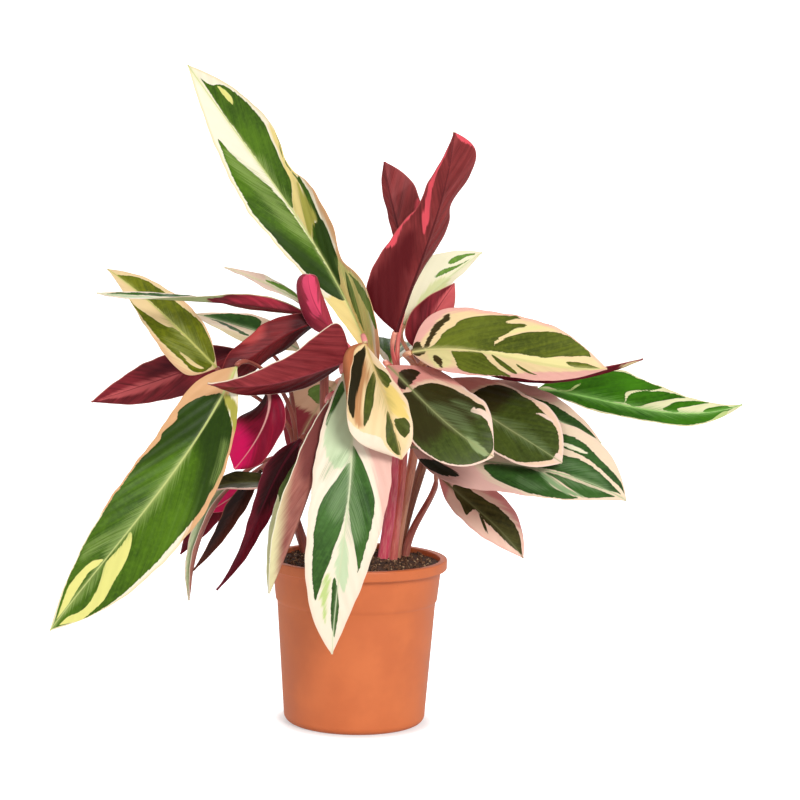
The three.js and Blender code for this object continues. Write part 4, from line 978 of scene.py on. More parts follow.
        "hazeAndSheen": [[(20, -30), (80, -30), (80, -10), (20, -10)]],
    },
    "leaf_inner_pink": {
        "rib": [[-20, 50, 262], [-34, 64, 242], [-46, 74, 220], [-56, 82, 196]],
        "face": [[0.1, -0.9, 0.4], [0, -0.9, 0.4]], "wide": [22, 24], "fold": 10, "curl": 0, "wave": [1.5, 2],
        "upper": "upper_blush", "under": "under_rosy",
        "green": [[(12, -50), (30, -60), (34, 0), (30, 60), (12, 50)]],
        "rose": [[(50, -120), (55, 120), (110, 120), (110, -120)]],
    },
    "leaf_back_high": {
        "rib": [[22, 44, 276], [34, 78, 292], [48, 118, 284], [60, 150, 252]],
        "face": [[0, 0.1, 1], [0.1, 0.7, 0.7]], "wide": [27, 27], "fold": 14, "curl": 0, "wave": [2, 2],
        "upper": "upper_fresh", "under": "under_rosy",
    },
    "leaf_back_right": {
        "rib": [[34, 58, 240], [68, 84, 248], [104, 108, 234], [136, 126, 204]],
        "face": [[0.2, 0.2, 1], [0.5, 0.5, 0.6]], "wide": [28, 28], "fold": 14, "curl": 0, "wave": [2, 2],
        "upper": "upper_vivid", "under": "under_rosy",
    },
    "leaf_back_low": {
        "rib": [[2, 66, 222], [-6, 98, 216], [-14, 128, 192], [-22, 146, 156]],
        "face": [[0, 0.4, 1], [0, 1, 0.4]], "wide": [26, 26], "fold": 12, "curl": 0, "wave": [1.5, 2],
        "upper": "upper_fresh", "under": "under_rosy",
    },
}


# The midrib is the one polynomial through its points, each at its share of the length (Lagrange's form).
def ribAt(points, t):
    points = np.array(points, float)
    run = runOf(points)
    share = run / run[-1]
    total = 0
    for i, point in enumerate(points):
        others = np.delete(share, i)
        weight = np.prod((t[..., None] - others) / (share[i] - others), axis=-1)
        total = total + weight[..., None] * point
    return total


def bothSides(value):  # a value is given once, or once for each side
    return (value["left"], value["right"]) if isinstance(value, dict) else (value, value)


def reading(value, side, t):  # a number on each side, or one at the base and one at the tip
    ends = [mix(v[0], v[1], t) if isinstance(v, list) else v + 0 * t for v in bothSides(value)]
    return np.where(side < 0, ends[0], ends[1])


# From its widest place the half width falls off to the base and to the tip as two powers, less its dips.
def halfWidth(leaf, side, t):
    halves = []
    for wide, shape, dips in zip(leaf["wide"], bothSides(leaf.get("shape", usualShape)),
                                 bothSides(leaf.get("waist", ()))):
        widest, heel, point = shape
        toBase = np.clip(1 - t / widest, 0, None) ** heel
        toTip = np.clip((t - widest) / (1 - widest), 0, None) ** point
        half = wide * (1 - toBase - toTip)
        for place, depth, span in dips:
            half = half * (1 - depth * bell(t - place, span))
        halves.append(np.maximum(half, bladeLook["leastHalfWidth"]))
    return np.where(side < 0, halves[0], halves[1])


# A blade as a function of t along the midrib and s across. Each half leaves the midrib at the fold angle and
# turns by curl times share to the power bend, summed over small steps. The margin rises and falls in sines.
def bladeAt(leaf, t, s):
    side = np.where(s < 0, -1, 1)
    u = np.abs(s)
    nearby, steps = 1e-3, 16
    tangent = unit(ribAt(leaf["rib"], t + nearby) - ribAt(leaf["rib"], t - nearby))
    first, last = (unit(np.array(v, float)) for v in leaf["face"])
    facing = mix(first, last, t[..., None])
    normal = unit(facing - tangent * (facing * tangent).sum(-1, keepdims=True))
    right = np.cross(tangent, normal)
    fold = np.radians(reading(leaf["fold"], side, t))
    curl = np.radians(reading(leaf["curl"], side, t))
    bend = reading(leaf.get("bend", 1), side, t)
    half = halfWidth(leaf, side, t)
    share = (np.arange(steps) + 0.5) / steps
    turn = fold[..., None] + curl[..., None] * (u[..., None] * share) ** bend[..., None]
    out = half * u * np.cos(turn).mean(-1)
    up = half * u * np.sin(turn).mean(-1)
    height, count = leaf["wave"]
    wave = height * u * u * np.sin(2 * np.pi * count * t + side) * np.sin(np.pi * t)
    lean = np.where(u == 0, 0, fold + curl * u**bend)[..., None]
    away = normal * np.cos(lean) - right * np.sin(lean) * side[..., None]
    points = ribAt(leaf["rib"], t) + right * (side * out)[..., None] + normal * up[..., None]
    return points + away * wave[..., None], away


# A closed outline through its points (a Catmull-Rom spline with four steps between two points).
def rounded(outline):
    p = np.array(outline, float)[:, None]
    before, after, further = (np.roll(p, shift, 0) for shift in (1, -1, -2))
    k = (np.arange(4) / 4)[None, :, None]
    curve = 2 * p + (after - before) * k + (2 * before - 5 * p + 4 * after - further) * k**2
    curve = curve + (3 * p - before - 3 * after + further) * k**3
    return (curve / 2).reshape(-1, 2)


# Signed distance to a closed outline, positive inside: the least distance to its edges, with the sign from
# the number of edges that a ray to one side crosses.
def insideBy(outline, x, y):
    a = outline
    b = np.roll(outline, -1, 0)
    edge = b - a
    px = x[:, None] - a[:, 0]
    py = y[:, None] - a[:, 1]
    along = np.clip((px * edge[:, 0] + py * edge[:, 1]) / np.maximum((edge**2).sum(1), 1e-9), 0, 1)
    away = np.hypot(px - along * edge[:, 0], py - along * edge[:, 1]).min(1)
    spans = (a[:, 1] > y[:, None]) != (b[:, 1] > y[:, None])
    rise = np.where(edge[:, 1] == 0, 1, edge[:, 1])
    crosses = spans & (px < py * edge[:, 0] / rise)
    return np.where(crosses.sum(1) % 2 == 1, away, -away)


# Green flames from the midrib towards the margin, for a blade whose upper face has no outlines of its own.
flameLook = {
    "first": (0.02, 0.1), "last": 0.85, "gap": (0.01, 0.1),  # where they stand along the midrib
    "span": (0.14, 0.34), "skew": (0.14, 0.22),  # how broad they are and how far they sweep
}


def seededFlames(seed):
    look = flameLook
    draw = np.random.default_rng(seed)
    flames = []
    for side in (-1, 1):
        place = draw.uniform(*look["first"])
        while place < look["last"]:
            span = draw.uniform(*look["span"])
            skew = draw.uniform(*look["skew"])
            far = place + span
            outline = [(place, 3), (place + skew * 0.4, 45), (place + skew, 88),
                       (place + skew + span * 0.8, 90), (far + skew * 0.5, 50), (far, 3)]
            flames.append([(min(t, 0.98) * 100, s * side) for t, s in outline])
            place += span + draw.uniform(*look["gap"])
    return flames


# Faces over two skins of rows + 1 by wide points, the upper one first: the skins, then the strips that join
# them at both margins, the heel and the point. The second result is how many faces a skin has.
def bladeFaces(rows, wide):
    below = (rows + 1) * wide

    def strip(p, q):
        return np.stack([p, q, q + below, p + below], 1)

    row = np.arange(rows) * wide
    column = np.arange(wide - 1)
    a = (row[:, None] + column).ravel()
    top = np.stack([a, a + 1, a + wide + 1, a + wide], 1)
    strips = [strip(row, row + wide), strip(row + 2 * wide - 1, row + wide - 1),
              strip(column + 1, column), strip(rows * wide + column, rows * wide + column + 1)]
    return np.concatenate([top, top[:, ::-1] + below] + strips), len(top)


# What the materials of a blade read: its distances from the patches, the margin and the midrib, and its place
# among the side veins. Both skins hold the same.
def keepMarkings(piece, leaf, number, t, s, veins, x, half):
    look = bladeLook
    length = runOf(np.array(leaf["rib"], float))[-1]
    left, right = leaf["wide"]
    flatX = (s * np.where(s < 0, left, right)).ravel()
    flatY = (t * length).ravel()
    outlines = {kind: leaf.get(kind, []) for kind in areaKinds}
    if not outlines["green"] and not outlines["milk"]:
        outlines["green"] = seededFlames(number)
    fields = {"edge": (1 - np.abs(s)) * half, "rib": mix(*look["ribHalf"], t) - x}
    for kind, group in outlines.items():
        best = np.full(flatX.size, float(look["outside"]))
        for outline in group:
            y, across = rounded(outline).T / 100
            onBlade = np.stack([across * np.where(across < 0, left, right), y * length], 1)
            best = np.maximum(best, insideBy(onBlade, flatX, flatY))
        fields[kind] = best
    for kind, values in fields.items():
        keepValue(piece, kind, np.tile(values.ravel(), 2))
    own = np.full(t.shape, number * look["apart"])
    toSide = x * np.sign(s + 1e-9)  # the midrib itself counts as right
    flow = np.stack([veins, toSide, own], -1).reshape(-1, 3)
    keepValue(piece, "veins", np.tile(flow, (2, 1)))


def makeBlade(name, leaf, number, materials):
    look = bladeLook
    length = runOf(np.array(leaf["rib"], float))[-1]
    rows = int(length / look["cell"])
    columns = int(max(leaf["wide"]) / look["cell"])
    even = np.linspace(0, 1, rows + 1)
    along = mix(even, (1 - np.cos(np.pi * even)) / 2, look["endRows"])
    share = np.append(np.linspace(0, look["lastColumn"], columns), 1)
    across = np.concatenate([-share[:0:-1], share])
    t, s = np.meshgrid(along, across, indexing="ij")
    u = np.abs(s)
    half = halfWidth(leaf, s, t)
    runs = [np.sin(2 * np.pi * t * length / spacing + number * k + np.sign(s))
            for k, spacing in enumerate(look["ruffleSpacing"], start=1)]
    ruffle = look["ruffle"] * mix(runs[1], runs[0], look["longRuffle"]) * u**5 * np.sin(np.pi * t)
    points, away = bladeAt(leaf, t, s * (1 + ruffle / np.maximum(half, look["leastRuffled"])))
    x = u * half
    veins = t * length - look["veinSlope"] * x - look["veinBend"] * x * x  # the same all along a side vein
    inner, outer = look["settled"]
    settled = smooth(0, inner, u) * smooth(1, outer, u)
    relief = look["veinRise"] * np.sin(2 * np.pi * veins / look["veinSpacing"]) * settled
    relief += look["swell"] * np.sin(2 * np.pi * veins / look["swellSpacing"] + number) * settled
    relief -= look["groove"] * bell(x, look["grooveHalf"]) * (1 - t) ** 0.5
    thickness = mix(*look["thickness"], u**6) + mix(*look["ridge"], t) * bell(x, look["ridgeHalf"])
    upper = points + away * relief[..., None]
    lower = upper - away * thickness[..., None]
    faces, skin = bladeFaces(rows, len(across))
    kinds = np.zeros(len(faces))
    kinds[skin:2 * skin] = 1
    corners = np.concatenate([upper.reshape(-1, 3), lower.reshape(-1, 3)])
    piece = meshFrom(name, corners, faces, materials, kinds)
    keepMarkings(piece, leaf, number, t, s, veins, x, half)
    return piece


# Every rooted shoot is a cane with the stalks of its leaves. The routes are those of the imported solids.
stemLook = {
    "rootDepth": 40, "soilTop": 126, "gap": 0.3,
    "cane": (4.4, 3.4), "caneSides": 28, "caneSteps": 90, "sheath": (0.06, 0.035),
    "stalk": (2.3, 1.5), "stalkSides": 20, "groove": 0.1, "joint": 2.1, "jointLength": 14,
    "rise": 0.5, "run": 0.4,  # shares of a stalk's reach with the cane's heading and with the blade's
}
shoots = {
    "stem_center_front": {
        "cane": [[20, 7, 126], [26, 9, 173], [34, -6, 217], [16, -14, 262]], "skin": "stem_magenta",
        "stalks": {"leaf_upper_left": 1, "leaf_left_fold": 0.97, "leaf_young_curl": 0.93,
                   "leaf_center_curled": 1, "leaf_center_drooping": 0.98,
                   "leaf_front_folded": (0.94, 0.15, 0.4)},
    },
    "stem_center": {
        "cane": [[27, 16, 126], [30, 14, 174], [40, 4, 220], [30, 2, 268]], "skin": "stem_rose",
        "stalks": {"leaf_upright_tall": 1, "leaf_upright_short": 0.98, "leaf_right_front": 0.98},
    },
    "stem_center_right": {
        "cane": [[30, 27, 126], [34, 21, 177], [52, 12, 224], [43, 5, 276]], "skin": "stem_orange",
        "stalks": {"leaf_right_cream": 1, "leaf_right_short": 0.98, "leaf_right_broad": 0.98,
                   "leaf_right_edge_on": 0.94},
    },
    "stem_rear_right": {
        "cane": [[32, 41, 126], [38, 38, 168], [54, 25, 204], [60, 14, 244]], "skin": "stem_olive",
        "stalks": {"leaf_far_right": 0.93, "leaf_right_middle": 0.98, "leaf_lower_right": 0.9,
                   "leaf_right_under": 0.97},
    },
    "stem_low_right": {
        "cane": [[38, 34, 126], [40, 35, 149], [56, 33, 167], [60, 18, 184]], "skin": "stem_mauve",
        "slim": 0.72, "stalks": {"leaf_low_right": (1, 0.5, 0.2)},
    },
    "stem_left_inner": {
        "cane": [[-19, 26, 126], [-23, 24, 170], [-30, 12, 230], [-28, 6, 284]], "skin": "stem_brown",
        "stalks": {"leaf_left_edge_on": 0.98, "leaf_left_thin": 0.94, "leaf_left_inner": 0.9,
                   "leaf_left_curled": 1, "leaf_magenta_hanging": 0.95},
    },
    "stem_left_outer": {
        "cane": [[-41, 32, 126], [-48, 33, 150], [-60, 30, 170], [-53, 24, 200]], "skin": "stem_brown",
        "stalks": {"leaf_lower_left": (1, 0.5, 0.15), "leaf_mid_left": 0.97, "leaf_left_back": 0.93,
                   "leaf_low_maroon": 0.98, "leaf_low_dark": 0.96, "leaf_low_thin": 0.92,
                   "leaf_low_magenta": 0.9, "leaf_low_left": 0.88, "leaf_low_band": 0.94},
    },
    "stem_back": {
        "cane": [[4, 34, 126], [6, 40, 160], [8, 34, 200], [4, 28, 236]], "skin": "stem_rose",
        "stalks": {"leaf_inner_pink": 1, "leaf_back_high": 0.98, "leaf_back_right": 0.95,
                   "leaf_back_low": 0.92},
    },
}
stemSkins = {
    "stem_magenta": {"base": (244, 88, 116), "deep": (208, 50, 84), "streak": (250, 164, 156)},
    "stem_rose": {"base": (238, 116, 110), "deep": (202, 78, 82), "streak": (250, 172, 146)},
    "stem_orange": {"base": (230, 158, 124), "deep": (200, 114, 94), "streak": (246, 192, 150)},
    "stem_olive": {"base": (158, 98, 74), "deep": (120, 66, 52), "streak": (192, 138, 100)},
    "stem_mauve": {"base": (200, 112, 100), "deep": (160, 78, 74), "streak": (222, 154, 124)},
    "stem_brown": {"base": (174, 92, 74), "deep": (126, 58, 52), "streak": (176, 92, 74)},
}
stemVeils = {
    "fine": 0.7, "joint": 0.8,  # how strongly the fine streaks and the joint take the streaks' colour
    "roughness": (0.36, 0.52), "relief": (0.5, 0.0003), "coat": 0.15, "coatRoughness": 0.3,
}


def stemSkin(name, look, streaks):
    veil = stemVeils
    material, wire, surface, flow = streaked(name, streaks)
    tones = tonesOf(look)
    colour = wire.blend(flow["Broad"], tones["deep"], tones["base"])
    pale = wire.times(wire.math("POWER", flow["Fine"], 2.0), veil["fine"])
    for share in (pale, wire.times(wire.field("joint"), veil["joint"])):
        colour = wire.blend(share, colour, tones["streak"])
    roughness = wire.ramp(flow["Fine"], 0.0, 1.0, to=veil["roughness"])
    finish(wire, surface, colour, roughness, flow["Fine"], *veil["relief"])
    surface.inputs["Coat Weight"].default_value = veil["coat"]
    surface.inputs["Coat Roughness"].default_value = veil["coatRoughness"]
    return material


def bezier(points, share):  # a cubic Bezier and its heading at each share of its parameter
    p = np.array(points, float)
    q = share[:, None]
    place = (1 - q) ** 3 * p[0] + 3 * (1 - q) ** 2 * q * p[1] + 3 * (1 - q) * q**2 * p[2] + q**3 * p[3]
    heading = (1 - q) ** 2 * (p[1] - p[0]) + 2 * (1 - q) * q * (p[2] - p[1]) + q**2 * (p[3] - p[2])
    return place, unit(heading)


def evenBezier(points, count):  # the same curve in steps of equal length, and its length
    shares = np.linspace(0, 1, 400)
    run = runOf(bezier(points, shares)[0])
    place, heading = bezier(points, np.interp(np.linspace(0, run[-1], count), run, shares))
    return place, heading, run[-1]


def bezierAt(points, lengthShare):
    steps = 400
    place, heading, _ = evenBezier(points, steps + 1)
    at = lengthShare * steps
    low = int(min(at, steps - 1))
    return mix(place[low], place[low + 1], at - low), heading[low]


# A tube: round each place of the path its points lie at radius(share, angle), in a frame square to the
# heading. Its flow is what the streaks read: two coordinates across and the length along.
def tubeAlong(place, heading, radius, sides):
    chord = place[-1] - place[0]
    bow = place[len(place) // 2] - (place[0] + place[-1]) / 2
    square = np.cross(chord, bow)
    if np.linalg.norm(square) < 1e-3 * np.linalg.norm(chord):  # a straight path lies in no plane of its own
        square = np.cross(chord, (0, 1, 0.1))
    normal = unit(np.cross(heading, square[None, :]))
    binormal = np.cross(heading, normal)
    angle = np.arange(sides) / sides * 2 * np.pi
    share = np.linspace(0, 1, len(place))
    r = radius(share[:, None], angle[None, :])
    ring = normal[:, None] * np.cos(angle)[None, :, None] + binormal[:, None] * np.sin(angle)[None, :, None]
    points = place[:, None] + ring * r[..., None]
    run = runOf(place)
    flow = np.stack(np.broadcast_arrays(r * np.cos(angle), run[:, None], r * np.sin(angle)), -1)
    points = np.concatenate([points.reshape(-1, 3), place[:1], place[-1:]])
    flow = np.concatenate([flow.reshape(-1, 3), [[0, 0, 0]], [[0, run[-1], 0]]])
    return points, ringFaces(len(place), sides), flow


def caneTube(shoot, number):
    look = stemLook
    slim = shoot.get("slim", 1)
    foot = np.array(shoot["cane"][0], float)
    place, heading, _ = evenBezier(shoot["cane"], look["caneSteps"])
    buried = np.linspace(foot - (0, 0, look["rootDepth"]), foot, 4)[:-1]
    place = np.concatenate([buried, place])
    heading = np.concatenate([np.tile(heading[:1], (len(buried), 1)), heading])

    def radius(share, angle):  # the sheaths make two broad ridges and five fine ones
        broad, fine = look["sheath"]
        sheath = broad * np.cos(2 * angle + 3 * share + number) + fine * np.cos(5 * angle - 4 * share)
        return slim * mix(*look["cane"], share) * (1 + sheath)

    return tubeAlong(place, heading, radius, look["caneSides"])


# A stalk leaves its cane at a share of the cane's length, with the cane's heading, and ends a small gap short
# of the blade, with the midrib's heading.
def stalkTube(shoot, leaf, leave):
    look = stemLook
    leave, rise, run = leave if isinstance(leave, tuple) else (leave, look["rise"], look["run"])
    start, startHeading = bezierAt(shoot["cane"], leave)
    ends = ribAt(leaf["rib"], np.array([0, 1e-3, -1e-3]))
    endHeading = unit(ends[1] - ends[2])
    end = ends[0] - endHeading * look["gap"]
    reach = np.linalg.norm(end - start)
    route = [start, start + startHeading * reach * rise, end - endHeading * reach * run, end]
    length = evenBezier(route, 10)[2]
    place, heading, _ = evenBezier(route, max(int(length / 2), 16))

    def radius(share, angle):  # grooved, with a thicker joint below the blade
        fromEnd = (1 - share) * length / look["jointLength"]
        joint = mix(look["joint"], look["stalk"][1], np.clip(fromEnd, 0, 1) ** 3)
        plain = mix(*look["stalk"], np.clip(share * 1.5, 0, 1))
        groove = 1 - look["groove"] * bell(angle - np.pi, 0.5) * smooth(0, 0.2, share)
        return np.where(fromEnd < 1, joint, plain) * groove

    return tubeAlong(place, heading, radius, look["stalkSides"])


def makeStem(name, shoot, number, material):
    joint = stemLook["jointLength"]
    tubes = [caneTube(shoot, number)]
    tubes += [stalkTube(shoot, leaves[leafName], leave) for leafName, leave in shoot["stalks"].items()]
    points, faces, flows, joints = [], [], [], []
    total = 0
    for k, (corners, skin, flow) in enumerate(tubes):
        points.append(corners)
        faces.append(skin + total)
        flows.append(flow + (0, 0, number * 5 + k * 2))  # so that each tube has its own streaks
        toEnd = flow[-1, 1] - flow[:, 1]
        joints.append(smooth(joint, joint * 0.5, toEnd) * (k > 0))
        total += len(corners)
    piece = meshFrom(name, np.concatenate(points), np.concatenate(faces), [material])
    keepValue(piece, "veins", np.concatenate(flows))
    keepValue(piece, "joint", np.concatenate(joints))
    return piece


potLook = {
    "height": 130, "rimRadius": 70.5, "rimBand": 8, "rimLip": 3.4, "rimRound": 1.1,
    "collarTop": 65.9, "collar": 63.2, "collarHeight": 97, "stepIn": 1.1,
    "foot": 55.5, "footRound": 6, "recess": (44, 0.4), "innerStep": 3, "innerFoot": 10,
    "wall": 1.6, "floor": 2.4, "sides": 192,
    "holes": 6, "holeRadius": 4.5, "holeRing": 38, "holeSides": 28,
    "base": (222, 119, 64), "deep": (194, 94, 49), "evened": 0.62,  # how far the base evens out the clouds
    "dirt": (120, 74, 48), "dirtHeights": (108, 124), "dirtStrength": 0.5, "leastDirt": 0.15,
    "cloudNoise": (28.0, 3.0, 0.55), "speckNoise": (900.0, 1.0), "grainNoise": (1500.0, 2.0),
    "roughness": (0.4, 0.52), "relief": (0.18, 0.0001),
}


def wallRadius(z):
    look = potLook
    top = look["height"] - look["rimBand"]
    collar = mix(look["collar"], look["collarTop"], (z - look["collarHeight"]) / (top - look["collarHeight"]))
    body = mix(look["foot"], look["collar"] - look["stepIn"],
               (z - look["footRound"]) / (look["collarHeight"] - look["footRound"]))
    return float(collar if z >= look["collarHeight"] else body)


# A turned shape: the profile of (radius, height) carried round the axis. Both its ends lie on the axis, or
# only the first one if it is open.
def turned(name, profile, sides, material, isOpen=False):
    profile = np.array(profile, float)
    angle = np.arange(sides) / sides * 2 * np.pi
    inner = profile[1:] if isOpen else profile[1:-1]
    x = inner[:, :1] * np.cos(angle)
    y = inner[:, :1] * np.sin(angle)
    z = np.broadcast_to(inner[:, 1:], x.shape)
    points = np.stack([x, y, z], -1).reshape(-1, 3)
    points = np.concatenate([points, [[0, 0, profile[0, 1]], [0, 0, profile[-1, 1]]]])
    faces = ringFaces(len(inner), sides)
    if isOpen:
        points, faces = points[:-1], faces[:-sides]
    return meshFrom(name, points, faces, [material])


def arc(center, radius, start, stop, steps=6):  # points of a round edge
    angle = np.radians(np.linspace(start, stop, steps))
    return [(center[0] + radius * math.cos(a), center[1] + radius * math.sin(a)) for a in angle]


def outerWall(low, high, steps):
    return [(wallRadius(z), z) for z in np.linspace(low, high, steps)]


# The profile runs up the outside, over the rolled rim and down the inside. Small offsets soften its steps.
def makePot(material):
    look = potLook
    foot, collar, wall = look["foot"] - look["footRound"], look["collarHeight"], look["wall"]
    top, height = look["height"] - look["rimBand"], look["height"]
    edge, lip = look["rimRound"], look["rimLip"]
    rim = look["rimRadius"] - edge
    recess, deep = look["recess"]
    profile = [(0, deep), (recess, deep), (recess + 1, 0)]
    profile += arc((foot, look["footRound"]), look["footRound"], -90, 0, 9)
    below = collar - look["stepIn"]
    profile += outerWall(look["footRound"] + 4, below - 0.8, 14)
    profile += [(wallRadius(below) + 0.15, below - 0.2), (look["collar"] - 0.3, collar - 0.15)]
    profile += [(look["collar"], collar + 0.5)]
    profile += outerWall(collar + 3, top - 1.2, 6)
    profile += [(look["collarTop"] + 0.5, top - 0.2), (look["collarTop"] + 1.4, top)]
    profile += arc((rim, top + edge), edge, -90, 0) + arc((rim, height - edge), edge, 0, 90)
    profile += arc((rim - lip, height - edge), edge, 90, 180)
    profile += [(look["collarTop"] - wall, top - wall), (look["collar"] - wall, collar)]
    for z in (collar - look["innerStep"], look["innerFoot"]):
        profile.append((wallRadius(z) - wall, z))
    profile += [(foot, look["floor"]), (0, look["floor"])]
    pot = turned("terracotta_pot", profile, look["sides"], material)
    cutHoles(pot)
    return pot


def cutHoles(pot):
    look = potLook
    radius = look["holeRadius"]
    low, high = -5, 8  # well below the pot's floor and well above it
    drills = []
    for k in range(look["holes"]):
        angle = (k + 0.5) / look["holes"] * 2 * math.pi
        x, y = look["holeRing"] * math.cos(angle), look["holeRing"] * math.sin(angle)
        profile = [(0, low), (radius, low), (radius, high), (0, high)]
        drill = turned(f"drill_{k}", profile, look["holeSides"], pot.data.materials[0])
        drill.data.transform(Matrix.Translation((x * metre, y * metre, 0)))
        drills.append(drill)
        cut = pot.modifiers.new("hole", "BOOLEAN")
        cut.operation = "DIFFERENCE"
        cut.object = drill
        cut.solver = "EXACT"
    bpy.context.view_layer.update()
    shaped = bpy.data.meshes.new_from_object(pot.evaluated_get(bpy.context.evaluated_depsgraph_get()))
    pot.modifiers.clear()
    pot.data = shaped
    for drill in drills:
        bpy.data.objects.remove(drill)


def potPlastic():  # clouded orange with fine grain, and peat dust that thickens towards the rim
    look = potLook
    material, wire, surface = newMaterial("pot_plastic")
    place = wire.place()
    cloud = wire.noise(place, *look["cloudNoise"])
    base = paint(*look["base"])
    colour = wire.blend(wire.rise(cloud, 0.35, 0.7), paint(*look["deep"]), base)
    colour = wire.blend(look["evened"], colour, base)
    specks = wire.rise(wire.noise(place, *look["speckNoise"]), 0.72, 0.78, to=(0.0, look["dirtStrength"]))
    height = wire.times(wire.add("SeparateXYZ", {0: place}).outputs[2], 1 / metre)
    nearRim = wire.rise(height, *look["dirtHeights"], to=(look["leastDirt"], 1.0))
    colour = wire.blend(wire.times(specks, nearRim), colour, paint(*look["dirt"]))
    roughness = wire.ramp(cloud, 0.3, 0.7, to=look["roughness"])
    finish(wire, surface, colour, roughness, wire.noise(place, *look["grainNoise"]), *look["relief"])
    return material


peatLook = {
    "rings": 70, "sides": 220, "rise": 1.6, "roll": (9, 7),  # height and lengths of the broad waves
    "fine": 0.5, "fineX": (1.7, 1.3, 2.3), "fineY": (1.9, 1.1, 2.6),  # length, push and its length, both ways
    "fromPot": 0.45, "fromFloor": 0.3,
    "crumbReach": 63.5, "crumbFill": 0.97, "crumbEdge": 64.3,  # how far out crumbs lie, and the peat's edge
    "crumbSquash": (0.5, 1.3), "crumbDents": (0.75, 1.2), "crumbSunk": 0.3,
    "grainNoise": (420.0, 4.0, 0.7), "roughness": 0.95, "relief": (0.9, 0.001),
    "peat_crumbs": {"count": 520, "size": (0.6, 1.7), "seed": 11},
    "pale_crumbs": {"count": 300, "size": (0.45, 1.1), "seed": 12},
    "base": (104, 72, 50), "deep": (46, 30, 20), "crumb": (140, 100, 70), "paleCrumb": (218, 190, 146),
}


def peatSkin(name, base, deep):
    look = peatLook
    material, wire, surface = newMaterial(name)
    grains = wire.noise(wire.place(), *look["grainNoise"])
    colour = wire.blend(wire.rise(grains, 0.35, 0.7), paint(*look[deep]), paint(*look[base]))
    finish(wire, surface, colour, look["roughness"], grains, *look["relief"])
    return material


# The surface rolls by two crossed waves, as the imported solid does, with finer ones for the crumbled peat.
def peatHeight(x, y, edge):
    look = peatLook
    fade = 1 - np.hypot(x, y) / edge
    roll = look["rise"] * fade * (np.sin(x / look["roll"][0]) + np.cos(y / look["roll"][1]))
    (lengthX, pushX, turnX), (lengthY, pushY, turnY) = look["fineX"], look["fineY"]
    fine = np.sin(x / lengthX + pushX * np.sin(y / turnX)) * np.sin(y / lengthY + pushY * np.cos(x / turnY))
    return stemLook["soilTop"] + roll + look["fine"] * fine * np.clip(fade * 6, 0, 1)


def makePeat(material):
    look, pot = peatLook, potLook
    top, above = stemLook["soilTop"], look["fromFloor"]
    lowest = pot["floor"] + above
    step, collar = pot["collarHeight"] - pot["innerStep"], pot["collarHeight"]

    def inside(z):
        return wallRadius(z) - pot["wall"] - look["fromPot"]

    edge = inside(top)
    profile = [(0, lowest), (pot["foot"] - pot["footRound"] - above, lowest),
               (inside(pot["innerFoot"]), pot["innerFoot"] + above), (inside(step), step),
               (inside(collar), collar + above)]
    profile += [(edge * share, top) for share in np.linspace(1, 0, look["rings"] + 1)]
    peat = turned("peat_surface", profile, look["sides"], material)
    points = np.empty(len(peat.data.vertices) * 3, np.float32)
    peat.data.vertices.foreach_get("co", points)
    points = points.reshape(-1, 3) / metre
    upper = points[:, 2] > top - 0.01
    points[upper, 2] = peatHeight(points[upper, 0], points[upper, 1], edge)
    peat.data.vertices.foreach_set("co", (points * metre).ravel())
    peat.data.update()
    return peat


# Crumbs: dented balls of 6 by 4 faces, each squashed, turned and set half into the peat by seeded draws.
def makeCrumbs(name, crumbs, material):
    look = peatLook
    count, (small, large) = crumbs["count"], crumbs["size"]
    draw = np.random.default_rng(crumbs["seed"])
    radius = look["crumbReach"] * np.sqrt(draw.uniform(0, look["crumbFill"], count))
    angle = draw.uniform(0, 2 * np.pi, count)
    centerX, centerY = radius * np.cos(angle), radius * np.sin(angle)
    heights = peatHeight(centerX, centerY, look["crumbEdge"])
    lat = np.radians([-50, 0, 50])[:, None]
    lon = np.radians(np.arange(6) * 60)
    flat = np.cos(lat)
    ball = np.stack(np.broadcast_arrays(flat * np.cos(lon), flat * np.sin(lon), np.sin(lat)), -1)
    ball = np.concatenate([ball.reshape(-1, 3), [(0, 0, -1), (0, 0, 1)]])
    squash = draw.uniform(*look["crumbSquash"], (count, 1, 3)) * draw.uniform(small, large, (count, 1, 1))
    dents = draw.uniform(*look["crumbDents"], (count, len(ball), 1))
    points = ball * dents * squash
    turn = draw.uniform(0, 2 * np.pi, (count, 1))
    x = points[..., 0] * np.cos(turn) - points[..., 1] * np.sin(turn) + centerX[:, None]
    y = points[..., 0] * np.sin(turn) + points[..., 1] * np.cos(turn) + centerY[:, None]
    z = points[..., 2] + heights[:, None] + squash[:, 0, 2:] * look["crumbSunk"]
    corners = np.stack([x, y, z], -1).reshape(-1, 3)
    shift = (np.arange(count) * len(ball))[:, None, None]
    faces = (ringFaces(len(lat), len(lon)) + shift).reshape(-1, 4)
    return meshFrom(name, corners, faces, [material], softened=False)


studioLook = {  # in metres, as lamps are
    "floorRadius": 3.4, "wallHeight": 3.0, "bowl": 0.9,
    "world": 0.35, "floor": 0.6,
    "glow": 0.17, "shine": 1.0,  # the floor's own light on the plant, and as it is seen
    "shadow": (0.055, 0.072, 0.45, 1.1),  # a painted shadow: the floor glows less close round the pot
    "aim": (0, 0, 0.25),
    "lamps": {
        "key": {"place": (0.9, -2.0, 1.4), "size": 0.9, "power": 38},
        "fill": {"place": (-1.9, -1.0, 0.9), "size": 1.6, "power": 6},
        "back": {"place": (-0.4, 1.8, 1.6), "size": 1.2, "power": 12},
    },
}


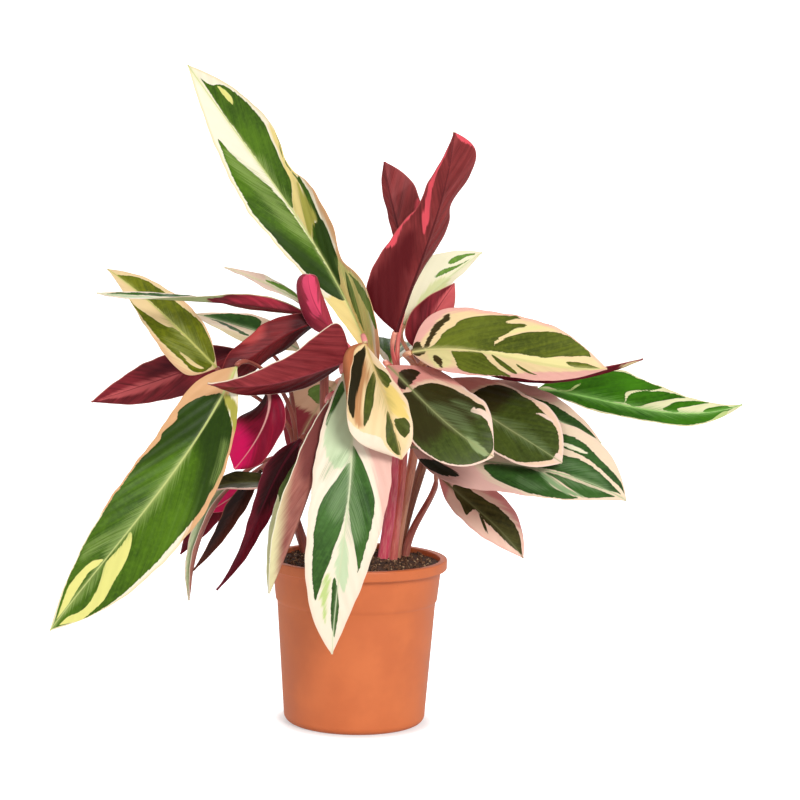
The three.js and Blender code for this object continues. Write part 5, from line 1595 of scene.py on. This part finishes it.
def floorPaint():
    look = studioLook
    material, wire, surface = newMaterial("floor_white")
    surface.inputs["Base Color"].default_value = (look["floor"],) * 3 + (1,)
    surface.inputs["Roughness"].default_value = 0.9
    surface.inputs["Emission Color"].default_value = (1, 1, 1, 1)
    distance = wire.add("VectorMath", {0: wire.place()}, operation="LENGTH").outputs["Value"]
    seen = wire.rise(wire.add("LightPath").outputs["Is Camera Ray"], 0, 1, to=(look["glow"], look["shine"]))
    # A painted shadow: close round the pot the floor glows less, as seen and onto the plant.
    near, far, dim, full = look["shadow"]
    fromPot = wire.rise(distance, near, far, to=(dim, full))
    wire.feed(surface.inputs["Emission Strength"], wire.times(fromPot, seen))
    return material


def makeStudio():  # a wide white bowl, open above, with a soft world and three round lamps
    look = studioLook
    radius, bowl = look["floorRadius"] / metre, look["bowl"] / metre
    profile = [(0, 0)] + [(r, 0) for r in np.linspace(60, radius - bowl, 24)]
    profile += arc((radius - bowl, bowl), bowl, -90, 0, 12) + [(radius, look["wallHeight"] / metre)]
    floor = turned("floor", profile, 96, floorPaint(), isOpen=True)
    floor.data.flip_normals()
    world = bpy.data.worlds.new("studio")
    world.use_nodes = True
    background = world.node_tree.nodes["Background"]
    background.inputs["Color"].default_value = (1, 1, 1, 1)
    background.inputs["Strength"].default_value = look["world"]
    bpy.context.scene.world = world
    for name, setting in look["lamps"].items():
        data = bpy.data.lights.new(name, "AREA")
        data.shape = "DISK"
        data.size = setting["size"]
        data.energy = setting["power"]
        lamp = bpy.data.objects.new(name, data)
        lamp.location = setting["place"]
        toPlant = Vector(look["aim"]) - lamp.location
        lamp.rotation_euler = toPlant.to_track_quat("-Z", "Y").to_euler()
        bpy.context.scene.collection.objects.link(lamp)
    bpy.context.scene.view_settings.view_transform = "Standard"


makeCamera()
streaks, patch = makeStreakGroup(), makePatchGroup()
print("camera and shader groups ready")

uppers = {name: upperFace(name, look, streaks, patch) for name, look in upperLooks.items()}
unders = {name: underFace(name, look, streaks, patch) for name, look in underLooks.items()}
for number, (node, leaf) in enumerate(leaves.items(), start=1):
    faces = [uppers[leaf["upper"]], unders[leaf["under"]]]
    stands(makeBlade(node.replace("leaf", "blade"), leaf, number, faces), node)
print(f"{len(leaves)} leaves made")

skins = {name: stemSkin(name, look, streaks) for name, look in stemSkins.items()}
for number, (node, shoot) in enumerate(shoots.items(), start=1):
    stands(makeStem(node.replace("stem", "cane"), shoot, number, skins[shoot["skin"]]), node)
print(f"{len(shoots)} stems made")

stands(makePot(potPlastic()), "pot")
stands(makePeat(peatSkin("peat", "base", "deep")), "soil")
for name, base, deep in (("peat_crumb", "crumb", "deep"), ("pale_crumb", "paleCrumb", "crumb")):
    crumbs = makeCrumbs(name + "s", peatLook[name + "s"], peatSkin(name, base, deep))
    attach(crumbs, "root")
print("pot and peat made")

makeStudio()
print("studio lit")
